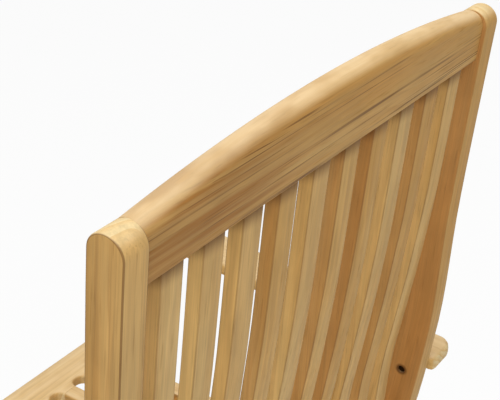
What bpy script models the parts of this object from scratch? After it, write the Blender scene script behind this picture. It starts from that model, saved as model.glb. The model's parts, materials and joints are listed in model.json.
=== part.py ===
"""Folding garden armchair in teak.

The stiles carry the back and bend forward under the seat to end as the front legs. The seat
turns on the stiles, and the rear legs turn on the seat. Each rear leg has a slot that runs
on a crossing pin in the stile. The seat pivot is as far from the crossing pin as it is from
the leg pivot, so a rear leg always turns half as far as the seat. An arm, its post, the seat
and the stile make a parallelogram on each side.

The chair faces -Y, and +X is the sitter's left. Metres, +Z up, floor at Z = 0.
"""

import math

import bmesh
import bpy
from mathutils import Matrix, Vector

# Clearances
GAP = 0.0003
PIVOT_PLAY = 0.0003
SIDE_PLAY = 0.0013

# Stile: height, rear edge ahead of the rail's rear face, and depth along the curve
STILE_KNOTS = (
    (0.000, -0.3760, 0.034),
    (0.200, -0.2140, 0.040),
    (0.400, -0.1000, 0.046),
    (0.560, -0.0505, 0.031),
    (0.700, -0.0255, 0.0275),
    (0.845, 0.0037, 0.0275),
    (0.900, 0.0154, 0.0275),
)
STILE_THICK = 0.022
STILE_CREST = 0.042
STILE_EDGE = 0.0022
BACK_INNER = 0.2173
BACK_Y = 0.2480

# Back rails and slats
RAIL_Z = 0.845
RECLINE = math.radians(12.0)
RAIL_THICK = 0.0235
RAIL_END_HEIGHT = 0.0415
RAIL_RISE = 0.0165
RAIL_ROUND = 0.0112
SLAT_COUNT = 10
SLAT_SIDE_SLOT = 0.01965
SLAT_WIDTH = 0.0218
SLAT_THICK = 0.0118
# Slat: height, and depth of its rear face in front of the stile's rear edge
SLAT_KNOTS = (
    (0.463, 0.0100),
    (0.557, 0.0190),
    (0.648, 0.0140),
    (0.720, 0.0070),
    (0.845, 0.0070),
)
SLAT_EDGE = 0.0012
LOWER_RAIL_Z = 0.427
LOWER_RAIL_HEIGHT = 0.036
LOWER_RAIL_THICK = 0.019
LOWER_RAIL_RECESS = 0.0045

# Stretchers
STRETCHER_HEIGHT = 0.038
STRETCHER_THICK = 0.018
FRONT_STRETCHER_Z = 0.095
REAR_STRETCHER_Z = 0.105
WOOD_EDGE = 0.0020

# Pivots
PIN_RADIUS = 0.0035
PIN_HEAD_RADIUS = 0.0065
PIN_HEAD_HEIGHT = 0.0025
PIN_BITE = 0.016
PIN_SUNK = 0.0020
CUT_OVER = 0.010
FOOT_SPARE = 0.060
WASHER_RADIUS = 0.0080
SEAT_PIVOT_Z = 0.405
SEAT_PIVOT_INSET = 0.013
CROSSING_Z = 0.262
LEG_PIVOT_DROP = math.radians(6.0)
ARM_PIVOT_Z = 0.516
FOLD_ANGLE = math.radians(97.0)

# Rear legs
LEG_THICK = 0.018
LEG_DEPTH = 0.034
LEG_TOP = 0.020

# Seat, measured ahead of the seat pivot and above the line of its pivots
SEAT_TILT = math.radians(3.5)
SEAT_TOP = 0.012
SEAT_DIP = 0.007
SEAT_START = -0.012
SEAT_RAIL_THICK = 0.019
SEAT_RAIL_DEPTH = 0.044
SEAT_SWEEP_START = 0.185
SEAT_SLAT_COUNT = 9
SEAT_SIDE_SLOT = 0.0142
SEAT_SLAT_WIDTH = 0.0190
SEAT_SLAT_THICK = 0.011
FRONT_RAIL_START = 0.333
FRONT_RAIL_WIDTH = 0.041
FRONT_RAIL_DEPTH = 0.026
FRONT_RAIL_CROWN = 0.003
FRONT_RAIL_NOSE = 0.018
FRONT_RAIL_OVERHANG = 0.0089
POST_SETBACK = 0.023
REAR_RAIL_START = 0.030
CROSS_RAIL_WIDTH = 0.036
BATTEN_START = 0.200
CROSS_RAIL_DEPTH = 0.020

# Arms and posts
ARM_RISE = math.radians(7.0)
ARM_THICK = 0.018
ARM_EDGE = 0.0045
ARM_TAIL = 0.027
ARM_LENGTH = 0.425
ARM_INNER_BOW = 0.031
ARM_REAR_WIDTH = 0.043
ARM_FRONT_WIDTH = 0.056
ARM_CORNER = 0.014
ARM_NOSE = 0.024
POST_THICK = 0.020
POST_WIDTH = 0.030
CLEAT_THICK = 0.022
CLEAT_LENGTH = 0.076
CLEAT_DROP = 0.012

# Facets: steps along each curve, and sides of a round pin
STILE_STEPS = 22
CREST_STEPS = 10
SLAT_STEPS = 12
SEAT_STEPS = 9
NOSE_STEPS = 5
END_STEPS = 8
ARM_STEPS = 10
CORNER_STEPS = 4
ARCH_CUTS = 15
ROUND_SIDES = 16
DOME_STEPS = 3

# Rounds of correction that place a point at a true height
SOLVE_ROUNDS = 8

SIDES = (("left", 1), ("right", -1))

TEAK = (0.58, 0.39, 0.19, 1.0)
TEAK_DARK = (0.47, 0.29, 0.13, 1.0)
BRASS = (0.66, 0.50, 0.24, 1.0)


def spline(knots, column, at):
    """Smooth value of a knot column at a height, straight beyond the end knots."""
    heights = [knot[0] for knot in knots]
    values = [knot[column] for knot in knots]
    last = len(knots) - 1

    def slope(index):
        low = max(index - 1, 0)
        high = min(index + 1, last)
        return (values[high] - values[low]) / (heights[high] - heights[low])

    if at <= heights[0]:
        return values[0] + slope(0) * (at - heights[0])
    if at >= heights[last]:
        return values[last] + slope(last) * (at - heights[last])
    left = max(index for index in range(last) if heights[index] <= at)
    span = heights[left + 1] - heights[left]
    t = (at - heights[left]) / span
    rise = values[left + 1] - values[left]
    start, end = slope(left) * span, slope(left + 1) * span
    return values[left] + t * (start + t * (3 * rise - 2 * start - end + t * (start + end - 2 * rise)))


def stile_rear(height):
    """Point on the stile's rear edge, as (y, z)."""
    return Vector((BACK_Y + spline(STILE_KNOTS, 1, height), height))


def stile_normal(height):
    """Unit normal of the rear edge, towards the rear."""
    step = 0.001
    along = stile_rear(height + step) - stile_rear(height - step)
    return Vector((along.y, -along.x)).normalized()


def stile_point(height, inward):
    """Point this far in front of the rear edge, square to it."""
    return stile_rear(height) - stile_normal(height) * inward


def stile_depth(height):
    """Depth of the stile, square to its rear edge."""
    return spline(STILE_KNOTS, 2, height)


def centre_at(height):
    """Point on the stile's centre line at a true height."""
    at = height
    for _ in range(SOLVE_ROUNDS):
        at += height - stile_point(at, stile_depth(at) / 2).y
    return stile_point(at, stile_depth(at) / 2)


def front_at(height):
    """Point on the stile's front edge at a true height."""
    at = height
    for _ in range(SOLVE_ROUNDS):
        at += height - stile_point(at, stile_depth(at)).y
    return stile_point(at, stile_depth(at))


# The top rail's lower rear edge and the upward line of the back there, as (y, z)
RAIL_FOOT = Vector((BACK_Y, RAIL_Z))
BACK_UP = Vector((math.sin(RECLINE), math.cos(RECLINE)))

# Pivot centres, as (y, z)
POST_REACH = FRONT_RAIL_START + POST_SETBACK
SEAT_PIVOT = front_at(SEAT_PIVOT_Z) + Vector((SEAT_PIVOT_INSET, 0.0))
CROSSING = centre_at(CROSSING_Z)
ARM_PIVOT = centre_at(ARM_PIVOT_Z)
CRANK = (CROSSING - SEAT_PIVOT).length
LEG_PIVOT = SEAT_PIVOT + CRANK * Vector((-math.cos(LEG_PIVOT_DROP), -math.sin(LEG_PIVOT_DROP)))
LEG_LINE = (CROSSING - LEG_PIVOT).normalized()
SEAT_AHEAD = Vector((-math.cos(SEAT_TILT), math.sin(SEAT_TILT)))
SEAT_UP = Vector((math.sin(SEAT_TILT), math.cos(SEAT_TILT)))
POST_LOW = SEAT_PIVOT + POST_REACH * SEAT_AHEAD
POST_HIGH = ARM_PIVOT + POST_REACH * SEAT_AHEAD

# Layers across the chair, from the middle out
LEG_OUTER = BACK_INNER - SIDE_PLAY
LEG_INNER = LEG_OUTER - LEG_THICK
SEAT_OUTER = LEG_INNER - SIDE_PLAY
SEAT_INNER = SEAT_OUTER - SEAT_RAIL_THICK
STILE_OUTER = BACK_INNER + STILE_THICK
ARM_INNER = STILE_OUTER + SIDE_PLAY
FRONT_RAIL_HALF = ARM_INNER + FRONT_RAIL_OVERHANG
POST_INNER = FRONT_RAIL_HALF + SIDE_PLAY
POST_OUTER = POST_INNER + POST_THICK
CLEAT_INNER = POST_OUTER + SIDE_PLAY
CLEAT_OUTER = CLEAT_INNER + CLEAT_THICK

# Spacing of the slats, which share the width between their side slots
SLAT_PITCH = (2 * (BACK_INNER - SLAT_SIDE_SLOT) - SLAT_WIDTH) / (SLAT_COUNT - 1)
SEAT_SLAT_PITCH = (2 * (SEAT_INNER - SEAT_SIDE_SLOT) - SEAT_SLAT_WIDTH) / (SEAT_SLAT_COUNT - 1)


def seat_point(ahead, above):
    """Point in the seat's own directions from the seat pivot, as (y, z)."""
    return SEAT_PIVOT + SEAT_AHEAD * ahead + SEAT_UP * above


def arm_point(ahead, above):
    """Point along the arm from its pivot and square to its board, as (y, z)."""
    along = Vector((-math.cos(ARM_RISE), math.sin(ARM_RISE)))
    upward = Vector((math.sin(ARM_RISE), math.cos(ARM_RISE)))
    return ARM_PIVOT + along * ahead + upward * above


def new_collection(name):
    collection = bpy.data.collections.new(name)
    bpy.context.scene.collection.children.link(collection)
    return collection


def new_material(name, colour, roughness, metallic):
    material = bpy.data.materials.new(name)
    material.use_nodes = True
    shader = material.node_tree.nodes["Principled BSDF"]
    shader.inputs["Base Color"].default_value = colour
    shader.inputs["Roughness"].default_value = roughness
    shader.inputs["Metallic"].default_value = metallic
    return material


def add_mesh(name, mesh, collection, material):
    """Object for a finished mesh, with its own copy of the material."""
    piece = bpy.data.objects.new(name, mesh)
    collection.objects.link(piece)
    own = material.copy()
    own.name = name + "_" + material.name
    piece.data.materials.clear()
    piece.data.materials.append(own)
    return piece


def flat_outline_mesh(name, outline, thickness):
    """Mesh of a flat outline, centred on its plane, with whole faces on both sides."""
    curve = bpy.data.curves.new(name, "CURVE")
    curve.dimensions = "2D"
    curve.fill_mode = "BOTH"
    curve.extrude = thickness / 2
    line = curve.splines.new("POLY")
    line.points.add(len(outline) - 1)
    for point, place in zip(line.points, outline):
        point.co = (place[0], place[1], 0.0, 1.0)
    line.use_cyclic_u = True
    drawn = bpy.data.objects.new(name, curve)
    bpy.context.scene.collection.objects.link(drawn)
    bpy.context.view_layer.update()
    evaluated = drawn.evaluated_get(bpy.context.evaluated_depsgraph_get())
    mesh = bpy.data.meshes.new_from_object(evaluated)
    bpy.data.objects.remove(drawn)
    work = bmesh.new()
    work.from_mesh(mesh)
    bmesh.ops.remove_doubles(work, verts=work.verts, dist=1e-6)
    flat = [edge for edge in work.edges if edge.is_manifold and edge.calc_face_angle() < 1e-4]
    bmesh.ops.dissolve_edges(work, edges=flat, use_verts=False)
    bmesh.ops.recalc_face_normals(work, faces=work.faces)
    work.to_mesh(mesh)
    work.free()
    return mesh


def add_bevel(piece, width, segments=2):
    bevel = piece.modifiers.new("round_edges", "BEVEL")
    bevel.width = width
    bevel.segments = segments
    bevel.limit_method = "ANGLE"
    bevel.angle_limit = math.radians(50.0)


def side_panel(name, outline, x_low, x_high, parts, material, edge, segments=2):
    """Board cut to an outline of (y, z) points and set upright between two X planes."""
    mesh = flat_outline_mesh(name, outline, x_high - x_low)
    upright = Matrix(((0, 0, 1, (x_low + x_high) / 2), (1, 0, 0, 0), (0, 1, 0, 0), (0, 0, 0, 1)))
    mesh.transform(upright)
    piece = add_mesh(name, mesh, parts, material)
    if edge:
        add_bevel(piece, edge, segments)
    return piece


def cross_board(name, centre, ahead, width, depth, x_half, parts, material, edge):
    """Straight board across the chair: width along a (y, z) direction and depth square to it."""
    work = bmesh.new()
    bmesh.ops.create_cube(work, size=1.0)
    mesh = bpy.data.meshes.new(name)
    work.to_mesh(mesh)
    work.free()
    along = Vector((0.0, ahead.x, ahead.y))
    square = along.cross(Vector((1.0, 0.0, 0.0)))
    place = Matrix.Translation((0.0, centre.x, centre.y))
    axes = Matrix((Vector((1.0, 0.0, 0.0)), along, -square)).transposed().to_4x4()
    mesh.transform(place @ axes @ Matrix.Diagonal((2 * x_half, width, depth, 1.0)))
    piece = add_mesh(name, mesh, parts, material)
    add_bevel(piece, edge)
    return piece


def cut_below_floor(piece):
    """Foot sawn level with the floor."""
    work = bmesh.new()
    work.from_mesh(piece.data)
    everything = work.verts[:] + work.edges[:] + work.faces[:]
    cut = bmesh.ops.bisect_plane(
        work, geom=everything, plane_co=(0, 0, 0), plane_no=(0, 0, -1), clear_outer=True
    )
    rim = [item for item in cut["geom_cut"] if isinstance(item, bmesh.types.BMEdge)]
    bmesh.ops.edgenet_fill(work, edges=rim)
    bmesh.ops.recalc_face_normals(work, faces=work.faces)
    work.to_mesh(piece.data)
    work.free()


def capsule(start, end, radius, steps):
    """Outline of a bar with round ends, as (y, z) points."""
    along = (end - start).normalized()
    lead = math.atan2(along.y, along.x)
    points = []
    for centre, first in ((end, lead - math.pi / 2), (start, lead + math.pi / 2)):
        for index in range(steps + 1):
            angle = first + math.pi * index / steps
            points.append(centre + radius * Vector((math.cos(angle), math.sin(angle))))
    return points


def add_cutter(target, mesh, name, cutters):
    """Takes a cutter's shape out of a piece."""
    cutter = bpy.data.objects.new(name, mesh)
    cutters.objects.link(cutter)
    cutter.hide_render = True
    cutter.display_type = "WIRE"
    cut = target.modifiers.new(name, "BOOLEAN")
    cut.operation = "DIFFERENCE"
    cut.object = cutter


def cut_bore(target, name, centre, x_low, x_high, cutters):
    """Round hole along X for a pin, between two X planes."""
    work = bmesh.new()
    radius = PIN_RADIUS + PIVOT_PLAY
    bmesh.ops.create_cone(
        work, cap_ends=True, segments=ROUND_SIDES, radius1=radius, radius2=radius, depth=x_high - x_low
    )
    mesh = bpy.data.meshes.new(name)
    work.to_mesh(mesh)
    work.free()
    mesh.transform(Matrix.Rotation(math.pi / 2, 4, "Y"))
    mesh.transform(Matrix.Translation(((x_low + x_high) / 2, centre.x, centre.y)))
    add_cutter(target, mesh, name, cutters)


def add_turned(name, profile, closed, place, outward, parts, material):
    """Turned piece on an X axis: (radius, height) points, with height outwards, from the top down."""
    edges = [(index, index + 1) for index in range(len(profile) - 1)]
    if closed:
        edges.append((len(profile) - 1, 0))
    mesh = bpy.data.meshes.new(name)
    mesh.from_pydata([(radius, 0.0, height) for radius, height in profile], edges, [])
    piece = add_mesh(name, mesh, parts, material)
    piece.location = place
    piece.rotation_euler = (0.0, outward * math.pi / 2, 0.0)
    turn = piece.modifiers.new("turn", "SCREW")
    turn.steps = ROUND_SIDES
    turn.render_steps = ROUND_SIDES
    turn.use_merge_vertices = True
    turn.merge_threshold = 1e-5
    turn.use_smooth_shade = True
    return piece


def add_pin(name, x_head, x_end, centre, parts, material):
    """Pin with a domed head outside x_head and a plain shank to x_end."""
    outward = 1 if x_head > x_end else -1
    dome = []
    for index in range(DOME_STEPS + 1):
        angle = math.pi / 2 * index / DOME_STEPS
        dome.append((PIN_HEAD_RADIUS * math.sin(angle), GAP + PIN_HEAD_HEIGHT * math.cos(angle)))
    length = abs(x_head - x_end)
    profile = dome + [(PIN_RADIUS, GAP), (PIN_RADIUS, -length), (0.0, -length)]
    return add_turned(name, profile, False, (x_head, centre.x, centre.y), outward, parts, material)


def add_dowel(name, x_start, x_end, centre, parts, material):
    """Plain pin between two X planes."""
    outward = 1 if x_start > x_end else -1
    length = abs(x_start - x_end)
    profile = [(0.0, 0.0), (PIN_RADIUS, 0.0), (PIN_RADIUS, -length), (0.0, -length)]
    return add_turned(name, profile, False, (x_start, centre.x, centre.y), outward, parts, material)


def add_ring(name, x_inner, x_outer, centre, parts, material):
    """Washer or spacer round a pin, between two faces with a gap to each."""
    outward = 1 if x_outer > x_inner else -1
    hole = PIN_RADIUS + PIVOT_PLAY
    high = abs(x_outer - x_inner) - GAP
    profile = [(WASHER_RADIUS, high), (WASHER_RADIUS, GAP), (hole, GAP), (hole, high)]
    return add_turned(name, profile, True, (x_inner, centre.x, centre.y), outward, parts, material)


def stile_outline():
    """Side outline of a stile, up the rear edge, over the half-round top and down the front."""
    shoulder = RAIL_Z
    for _ in range(SOLVE_ROUNDS):
        centre = stile_point(shoulder, stile_depth(shoulder) / 2) - RAIL_FOOT
        shoulder += STILE_CREST - stile_depth(shoulder) / 2 - centre.dot(BACK_UP)
    below = -FOOT_SPARE
    heights = [below + (shoulder - below) * index / STILE_STEPS for index in range(STILE_STEPS + 1)]
    rear = [stile_rear(height) for height in heights]
    front = [stile_point(height, stile_depth(height)) for height in heights]
    middle = (rear[-1] + front[-1]) / 2
    radius = stile_depth(shoulder) / 2
    behind = stile_normal(shoulder)
    upward = Vector((-behind.y, behind.x))
    top = []
    for index in range(1, CREST_STEPS):
        angle = math.pi * index / CREST_STEPS
        top.append(middle + radius * (behind * math.cos(angle) + upward * math.sin(angle)))
    return rear + top + front[::-1]


def slat_recess(height):
    """Depth of a back slat's rear face in front of the stile's rear edge."""
    return spline(SLAT_KNOTS, 1, height)


def band_outline(low, high, thickness, steps):
    """Outline of a back slat, which is straighter than the stile beside it."""
    heights = [low + (high - low) * index / steps for index in range(steps + 1)]
    rear = [stile_point(height, slat_recess(height)) for height in heights]
    front = [stile_point(height, slat_recess(height) + thickness) for height in heights]
    return rear + front[::-1]


def seat_dip(ahead):
    """Depth of the seat's dish at a place ahead of the seat pivot."""
    return SEAT_DIP * math.sin(math.pi * (ahead - SEAT_START) / (FRONT_RAIL_START - SEAT_START))


def seat_band(thick_rear, thick_front):
    """Outline of a seat slat or side rail with the dished top, as (y, z) points."""
    top, bottom = [], []
    slat_end = FRONT_RAIL_START - GAP
    for index in range(SEAT_STEPS + 1):
        ahead = SEAT_START + (slat_end - SEAT_START) * index / SEAT_STEPS
        sweep = max(0.0, (ahead - SEAT_SWEEP_START) / (slat_end - SEAT_SWEEP_START))
        thickness = thick_rear + (thick_front - thick_rear) * sweep * sweep * (3 - 2 * sweep)
        top.append(seat_point(ahead, SEAT_TOP - seat_dip(ahead)))
        bottom.append(seat_point(ahead, SEAT_TOP - seat_dip(ahead) - thickness))
    return top + bottom[::-1]


def make_stiles(parts, cutters, teak):
    """Both stiles, bored for the seat, crossing and arm pins."""
    outline = stile_outline()
    for side_name, side in SIDES:
        name = side_name + "_stile"
        x_low, x_high = sorted((side * BACK_INNER, side * STILE_OUTER))
        stile = side_panel(name, outline, x_low, x_high, parts, teak, 0.0)
        cut_below_floor(stile)
        add_bevel(stile, STILE_EDGE)
        for pivot, centre in (("seat", SEAT_PIVOT), ("crossing", CROSSING), ("arm", ARM_PIVOT)):
            bore = name + "_" + pivot + "_bore"
            cut_bore(stile, bore, centre, x_low - CUT_OVER, x_high + CUT_OVER, cutters)


def make_stile_pins(parts, brass):
    """Pins that the stiles hold, with the seat's spacers and the arms' washers."""
    for name, side in SIDES:
        seat_end = SEAT_OUTER - PIN_BITE
        add_pin(name + "_seat_pin", side * STILE_OUTER, side * seat_end, SEAT_PIVOT, parts, brass)
        add_ring(name + "_seat_spacer", side * SEAT_OUTER, side * BACK_INNER, SEAT_PIVOT, parts, brass)
        leg_end = LEG_INNER + GAP
        add_pin(name + "_crossing_pin", side * STILE_OUTER, side * leg_end, CROSSING, parts, brass)
        arm_start, arm_end = BACK_INNER + PIN_SUNK, ARM_INNER + PIN_BITE
        add_dowel(name + "_arm_pin", side * arm_start, side * arm_end, ARM_PIVOT, parts, brass)
        add_ring(name + "_arm_washer", side * STILE_OUTER, side * ARM_INNER, ARM_PIVOT, parts, brass)


def make_top_rail(parts, teak):
    """Rail with an arched top and a broad round over both top edges."""
    work = bmesh.new()
    bmesh.ops.create_cube(work, size=1.0)
    half = BACK_INNER - GAP
    lengthwise = [edge for edge in work.edges if abs(edge.verts[0].co.x - edge.verts[1].co.x) > 0.5]
    bmesh.ops.subdivide_edges(work, edges=lengthwise, cuts=ARCH_CUTS, use_grid_fill=True)
    for vert in work.verts:
        share = vert.co.x * 2
        arch = RAIL_END_HEIGHT + RAIL_RISE * (1 - share * share)
        height = arch * (vert.co.z + 0.5)
        behind = -RAIL_THICK * (0.5 - vert.co.y)
        upward = Vector((0.0, math.sin(RECLINE), math.cos(RECLINE)))
        rearward = Vector((0.0, math.cos(RECLINE), -math.sin(RECLINE)))
        foot = Vector((vert.co.x * 2 * half, BACK_Y, RAIL_Z))
        vert.co = foot + upward * height + rearward * behind
    weight = work.edges.layers.float.new("bevel_weight_edge")
    for edge in work.edges:
        level = min(vert.co.z for vert in edge.verts)
        along = abs(edge.verts[0].co.x - edge.verts[1].co.x) > 1e-6
        if along and level > RAIL_Z + RAIL_END_HEIGHT / 2 and edge.calc_face_angle() > 0.8:
            edge[weight] = 1.0
    mesh = bpy.data.meshes.new("top_rail")
    work.to_mesh(mesh)
    work.free()
    rail = add_mesh("top_rail", mesh, parts, teak)
    bevel = rail.modifiers.new("round_top", "BEVEL")
    bevel.width = RAIL_ROUND
    bevel.segments = 5
    bevel.limit_method = "WEIGHT"
    rail.data.shade_smooth()
    rail.data.set_sharp_from_angle(angle=math.radians(40.0))


def slat_end(rail, upward, level, furthest):
    """Height on the rear edge where a slat's end comes to a level above a rail's point."""
    at = rail.y
    for _ in range(SOLVE_ROUNDS):
        corners = [stile_point(at, slat_recess(at) + part) for part in (0.0, SLAT_THICK)]
        at += level - furthest((corner - rail).dot(upward) for corner in corners)
    return at


def make_back(parts, teak):
    """Top rail, lower rail and the slats between them."""
    make_top_rail(parts, teak)
    lower_mid = LOWER_RAIL_Z + LOWER_RAIL_HEIGHT / 2
    rearward = stile_normal(lower_mid)
    centre = stile_point(lower_mid, LOWER_RAIL_RECESS + LOWER_RAIL_THICK / 2)
    upward = Vector((-rearward.y, rearward.x))
    cross_board(
        "lower_back_rail", centre, upward, LOWER_RAIL_HEIGHT, LOWER_RAIL_THICK,
        BACK_INNER - GAP, parts, teak, WOOD_EDGE,
    )
    low = slat_end(centre, upward, LOWER_RAIL_HEIGHT / 2 + GAP, min)
    high = slat_end(RAIL_FOOT, BACK_UP, -GAP, max)
    outline = band_outline(low, high, SLAT_THICK, SLAT_STEPS)
    for index in range(SLAT_COUNT):
        x = ((SLAT_COUNT - 1) / 2 - index) * SLAT_PITCH
        name = "back_slat_%02d" % (index + 1)
        side_panel(name, outline, x - SLAT_WIDTH / 2, x + SLAT_WIDTH / 2, parts, teak, SLAT_EDGE, 1)


def make_front_stretcher(parts, teak):
    """Board between the front legs, edge up along them."""
    centre = centre_at(FRONT_STRETCHER_Z)
    rearward = stile_normal(FRONT_STRETCHER_Z)
    upward = Vector((-rearward.y, rearward.x))
    cross_board(
        "front_stretcher", centre, upward, STRETCHER_HEIGHT, STRETCHER_THICK,
        BACK_INNER - GAP, parts, teak, WOOD_EDGE,
    )


def make_seat(parts, cutters, teak, brass):
    """Seat frame and slats with the pins that they hold, bored for the seat, leg and post pins."""
    rail_outline = seat_band(SEAT_RAIL_DEPTH, FRONT_RAIL_DEPTH - FRONT_RAIL_CROWN)
    pieces = [make_front_rail(parts, cutters, teak)]
    for side_name, side in SIDES:
        name = side_name + "_seat_rail"
        x_low, x_high = sorted((side * SEAT_INNER, side * SEAT_OUTER))
        rail = side_panel(name, rail_outline, x_low, x_high, parts, teak, WOOD_EDGE)
        cut_bore(rail, name + "_leg_bore", LEG_PIVOT, x_low - CUT_OVER, x_high + CUT_OVER, cutters)
        blind_end = SEAT_OUTER - PIN_BITE - PIVOT_PLAY
        x_low, x_high = sorted((side * blind_end, side * (SEAT_OUTER + CUT_OVER)))
        cut_bore(rail, name + "_seat_bore", SEAT_PIVOT, x_low, x_high, cutters)
        leg_end = LEG_OUTER - GAP
        leg_pin = add_pin(
            side_name + "_leg_pin", side * SEAT_INNER, side * leg_end, LEG_PIVOT, parts, brass
        )
        washer = add_ring(
            side_name + "_leg_washer", side * SEAT_OUTER, side * LEG_INNER, LEG_PIVOT, parts, brass
        )
        foot_end = FRONT_RAIL_HALF - PIN_BITE
        post_pin = add_pin(
            side_name + "_post_foot_pin", side * POST_OUTER, side * foot_end, POST_LOW, parts, brass
        )
        pieces += [rail, leg_pin, washer, post_pin]
    slat_outline = seat_band(SEAT_SLAT_THICK, SEAT_SLAT_THICK)
    for index in range(SEAT_SLAT_COUNT):
        x = ((SEAT_SLAT_COUNT - 1) / 2 - index) * SEAT_SLAT_PITCH
        name = "seat_slat_%02d" % (index + 1)
        x_low, x_high = x - SEAT_SLAT_WIDTH / 2, x + SEAT_SLAT_WIDTH / 2
        pieces.append(side_panel(name, slat_outline, x_low, x_high, parts, teak, SLAT_EDGE, 1))
    pieces.append(make_under_rail("seat_rear_rail", REAR_RAIL_START, parts, teak))
    pieces.append(make_under_rail("seat_batten", BATTEN_START, parts, teak))
    return pieces


def make_front_rail(parts, cutters, teak):
    """Front rail with a top that swells to a round nose."""
    high = SEAT_TOP + FRONT_RAIL_CROWN
    low = high - FRONT_RAIL_DEPTH
    nose = FRONT_RAIL_START + FRONT_RAIL_WIDTH - FRONT_RAIL_NOSE
    outline = [seat_point(FRONT_RAIL_START, low)]
    for index in range(NOSE_STEPS):
        t = index / NOSE_STEPS
        rise = FRONT_RAIL_CROWN * t * t * (3 - 2 * t)
        outline.append(seat_point(FRONT_RAIL_START + (nose - FRONT_RAIL_START) * t, SEAT_TOP + rise))
    for index in range(NOSE_STEPS + 1):
        angle = math.pi / 2 * index / NOSE_STEPS
        ahead = nose + FRONT_RAIL_NOSE * math.sin(angle)
        outline.append(seat_point(ahead, high - FRONT_RAIL_NOSE * (1 - math.cos(angle))))
    outline.append(seat_point(nose + FRONT_RAIL_NOSE, low))
    rail = side_panel(
        "seat_front_rail", outline, -FRONT_RAIL_HALF, FRONT_RAIL_HALF, parts, teak, WOOD_EDGE
    )
    for name, side in SIDES:
        blind_end = FRONT_RAIL_HALF - PIN_BITE - PIVOT_PLAY
        x_low, x_high = sorted((side * blind_end, side * (FRONT_RAIL_HALF + CUT_OVER)))
        cut_bore(rail, name + "_post_rail_bore", POST_LOW, x_low, x_high, cutters)
    return rail


def make_under_rail(name, start, parts, teak):
    """Board under the seat slats, between the side rails."""
    top = SEAT_TOP - SEAT_SLAT_THICK - GAP - max(seat_dip(start), seat_dip(start + CROSS_RAIL_WIDTH))
    ends = (start, start + CROSS_RAIL_WIDTH)
    points = [seat_point(ahead, top) for ahead in ends]
    points += [seat_point(ahead, top - CROSS_RAIL_DEPTH) for ahead in reversed(ends)]
    return side_panel(name, points, -SEAT_INNER + GAP, SEAT_INNER - GAP, parts, teak, WOOD_EDGE)


def slot_span():
    """Distances from the leg pivot of the crossing pin, open and folded."""
    to_crossing = CROSSING - SEAT_PIVOT
    to_leg = LEG_PIVOT - SEAT_PIVOT
    opening = abs(math.atan2(to_crossing.y, to_crossing.x) - math.atan2(to_leg.y, to_leg.x))
    opening = min(opening, 2 * math.pi - opening)
    return (2 * CRANK * math.sin(opening / 2), 2 * CRANK * math.sin((opening + FOLD_ANGLE) / 2))


def make_rear_legs(parts, cutters, teak):
    """Rear legs, slotted for the crossing pins, and their stretcher."""
    foot = LEG_PIVOT + LEG_LINE * (LEG_PIVOT.y + FOOT_SPARE) / -LEG_LINE.y
    head = LEG_PIVOT - LEG_LINE * (LEG_TOP - LEG_DEPTH / 2)
    outline = capsule(foot, head, LEG_DEPTH / 2, END_STEPS)
    near, far = slot_span()
    pieces = []
    for side_name, side in SIDES:
        name = side_name + "_rear_leg"
        x_low, x_high = sorted((side * LEG_INNER, side * LEG_OUTER))
        leg = side_panel(name, outline, x_low, x_high, parts, teak, 0.0)
        cut_below_floor(leg)
        add_bevel(leg, WOOD_EDGE)
        cut_bore(leg, name + "_pivot_bore", LEG_PIVOT, x_low - CUT_OVER, x_high + CUT_OVER, cutters)
        slot_line = capsule(
            LEG_PIVOT + LEG_LINE * near, LEG_PIVOT + LEG_LINE * far, PIN_RADIUS + PIVOT_PLAY, END_STEPS
        )
        slot = flat_outline_mesh(name + "_slot", slot_line, LEG_THICK + 2 * CUT_OVER)
        slot.transform(Matrix(((0, 0, 1, (x_low + x_high) / 2), (1, 0, 0, 0), (0, 1, 0, 0), (0, 0, 0, 1))))
        add_cutter(leg, slot, name + "_slot", cutters)
        pieces.append(leg)
    centre = LEG_PIVOT + LEG_LINE * (LEG_PIVOT.y - REAR_STRETCHER_Z) / -LEG_LINE.y
    stretcher = cross_board(
        "rear_stretcher", centre, -LEG_LINE, STRETCHER_HEIGHT, STRETCHER_THICK,
        LEG_INNER - GAP, parts, teak, WOOD_EDGE,
    )
    return pieces + [stretcher]


def arm_outline():
    """Plan of a left arm: distance ahead of the pivot and X, inner edge first, from the rear."""
    start, end = -ARM_TAIL, ARM_LENGTH
    inner, outer = [], []
    for index in range(ARM_STEPS + 1):
        t = index / ARM_STEPS
        bow = ARM_INNER_BOW * t * t * (3 - 2 * t)
        ahead = start + (end - start) * t
        inner.append((ahead, ARM_INNER + bow))
        outer.append((ahead, ARM_INNER + bow + ARM_REAR_WIDTH + (ARM_FRONT_WIDTH - ARM_REAR_WIDTH) * t))

    def rounded(corner, before, after, radius):
        corner, before, after = Vector(corner), Vector(before), Vector(after)
        one = corner + (before - corner).normalized() * radius
        two = corner + (after - corner).normalized() * radius
        arc = []
        for index in range(CORNER_STEPS + 1):
            t = index / CORNER_STEPS
            arc.append((one * (1 - t) + corner * t) * (1 - t) + (corner * (1 - t) + two * t) * t)
        return arc

    nose_in = rounded(inner[-1], inner[-2], outer[-1], ARM_NOSE)
    nose_out = rounded(outer[-1], inner[-1], outer[-2], ARM_NOSE)
    heel = rounded(outer[0], outer[1], inner[0], ARM_CORNER)
    return inner[:-1] + nose_in + nose_out + outer[-2:0:-1] + heel


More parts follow.
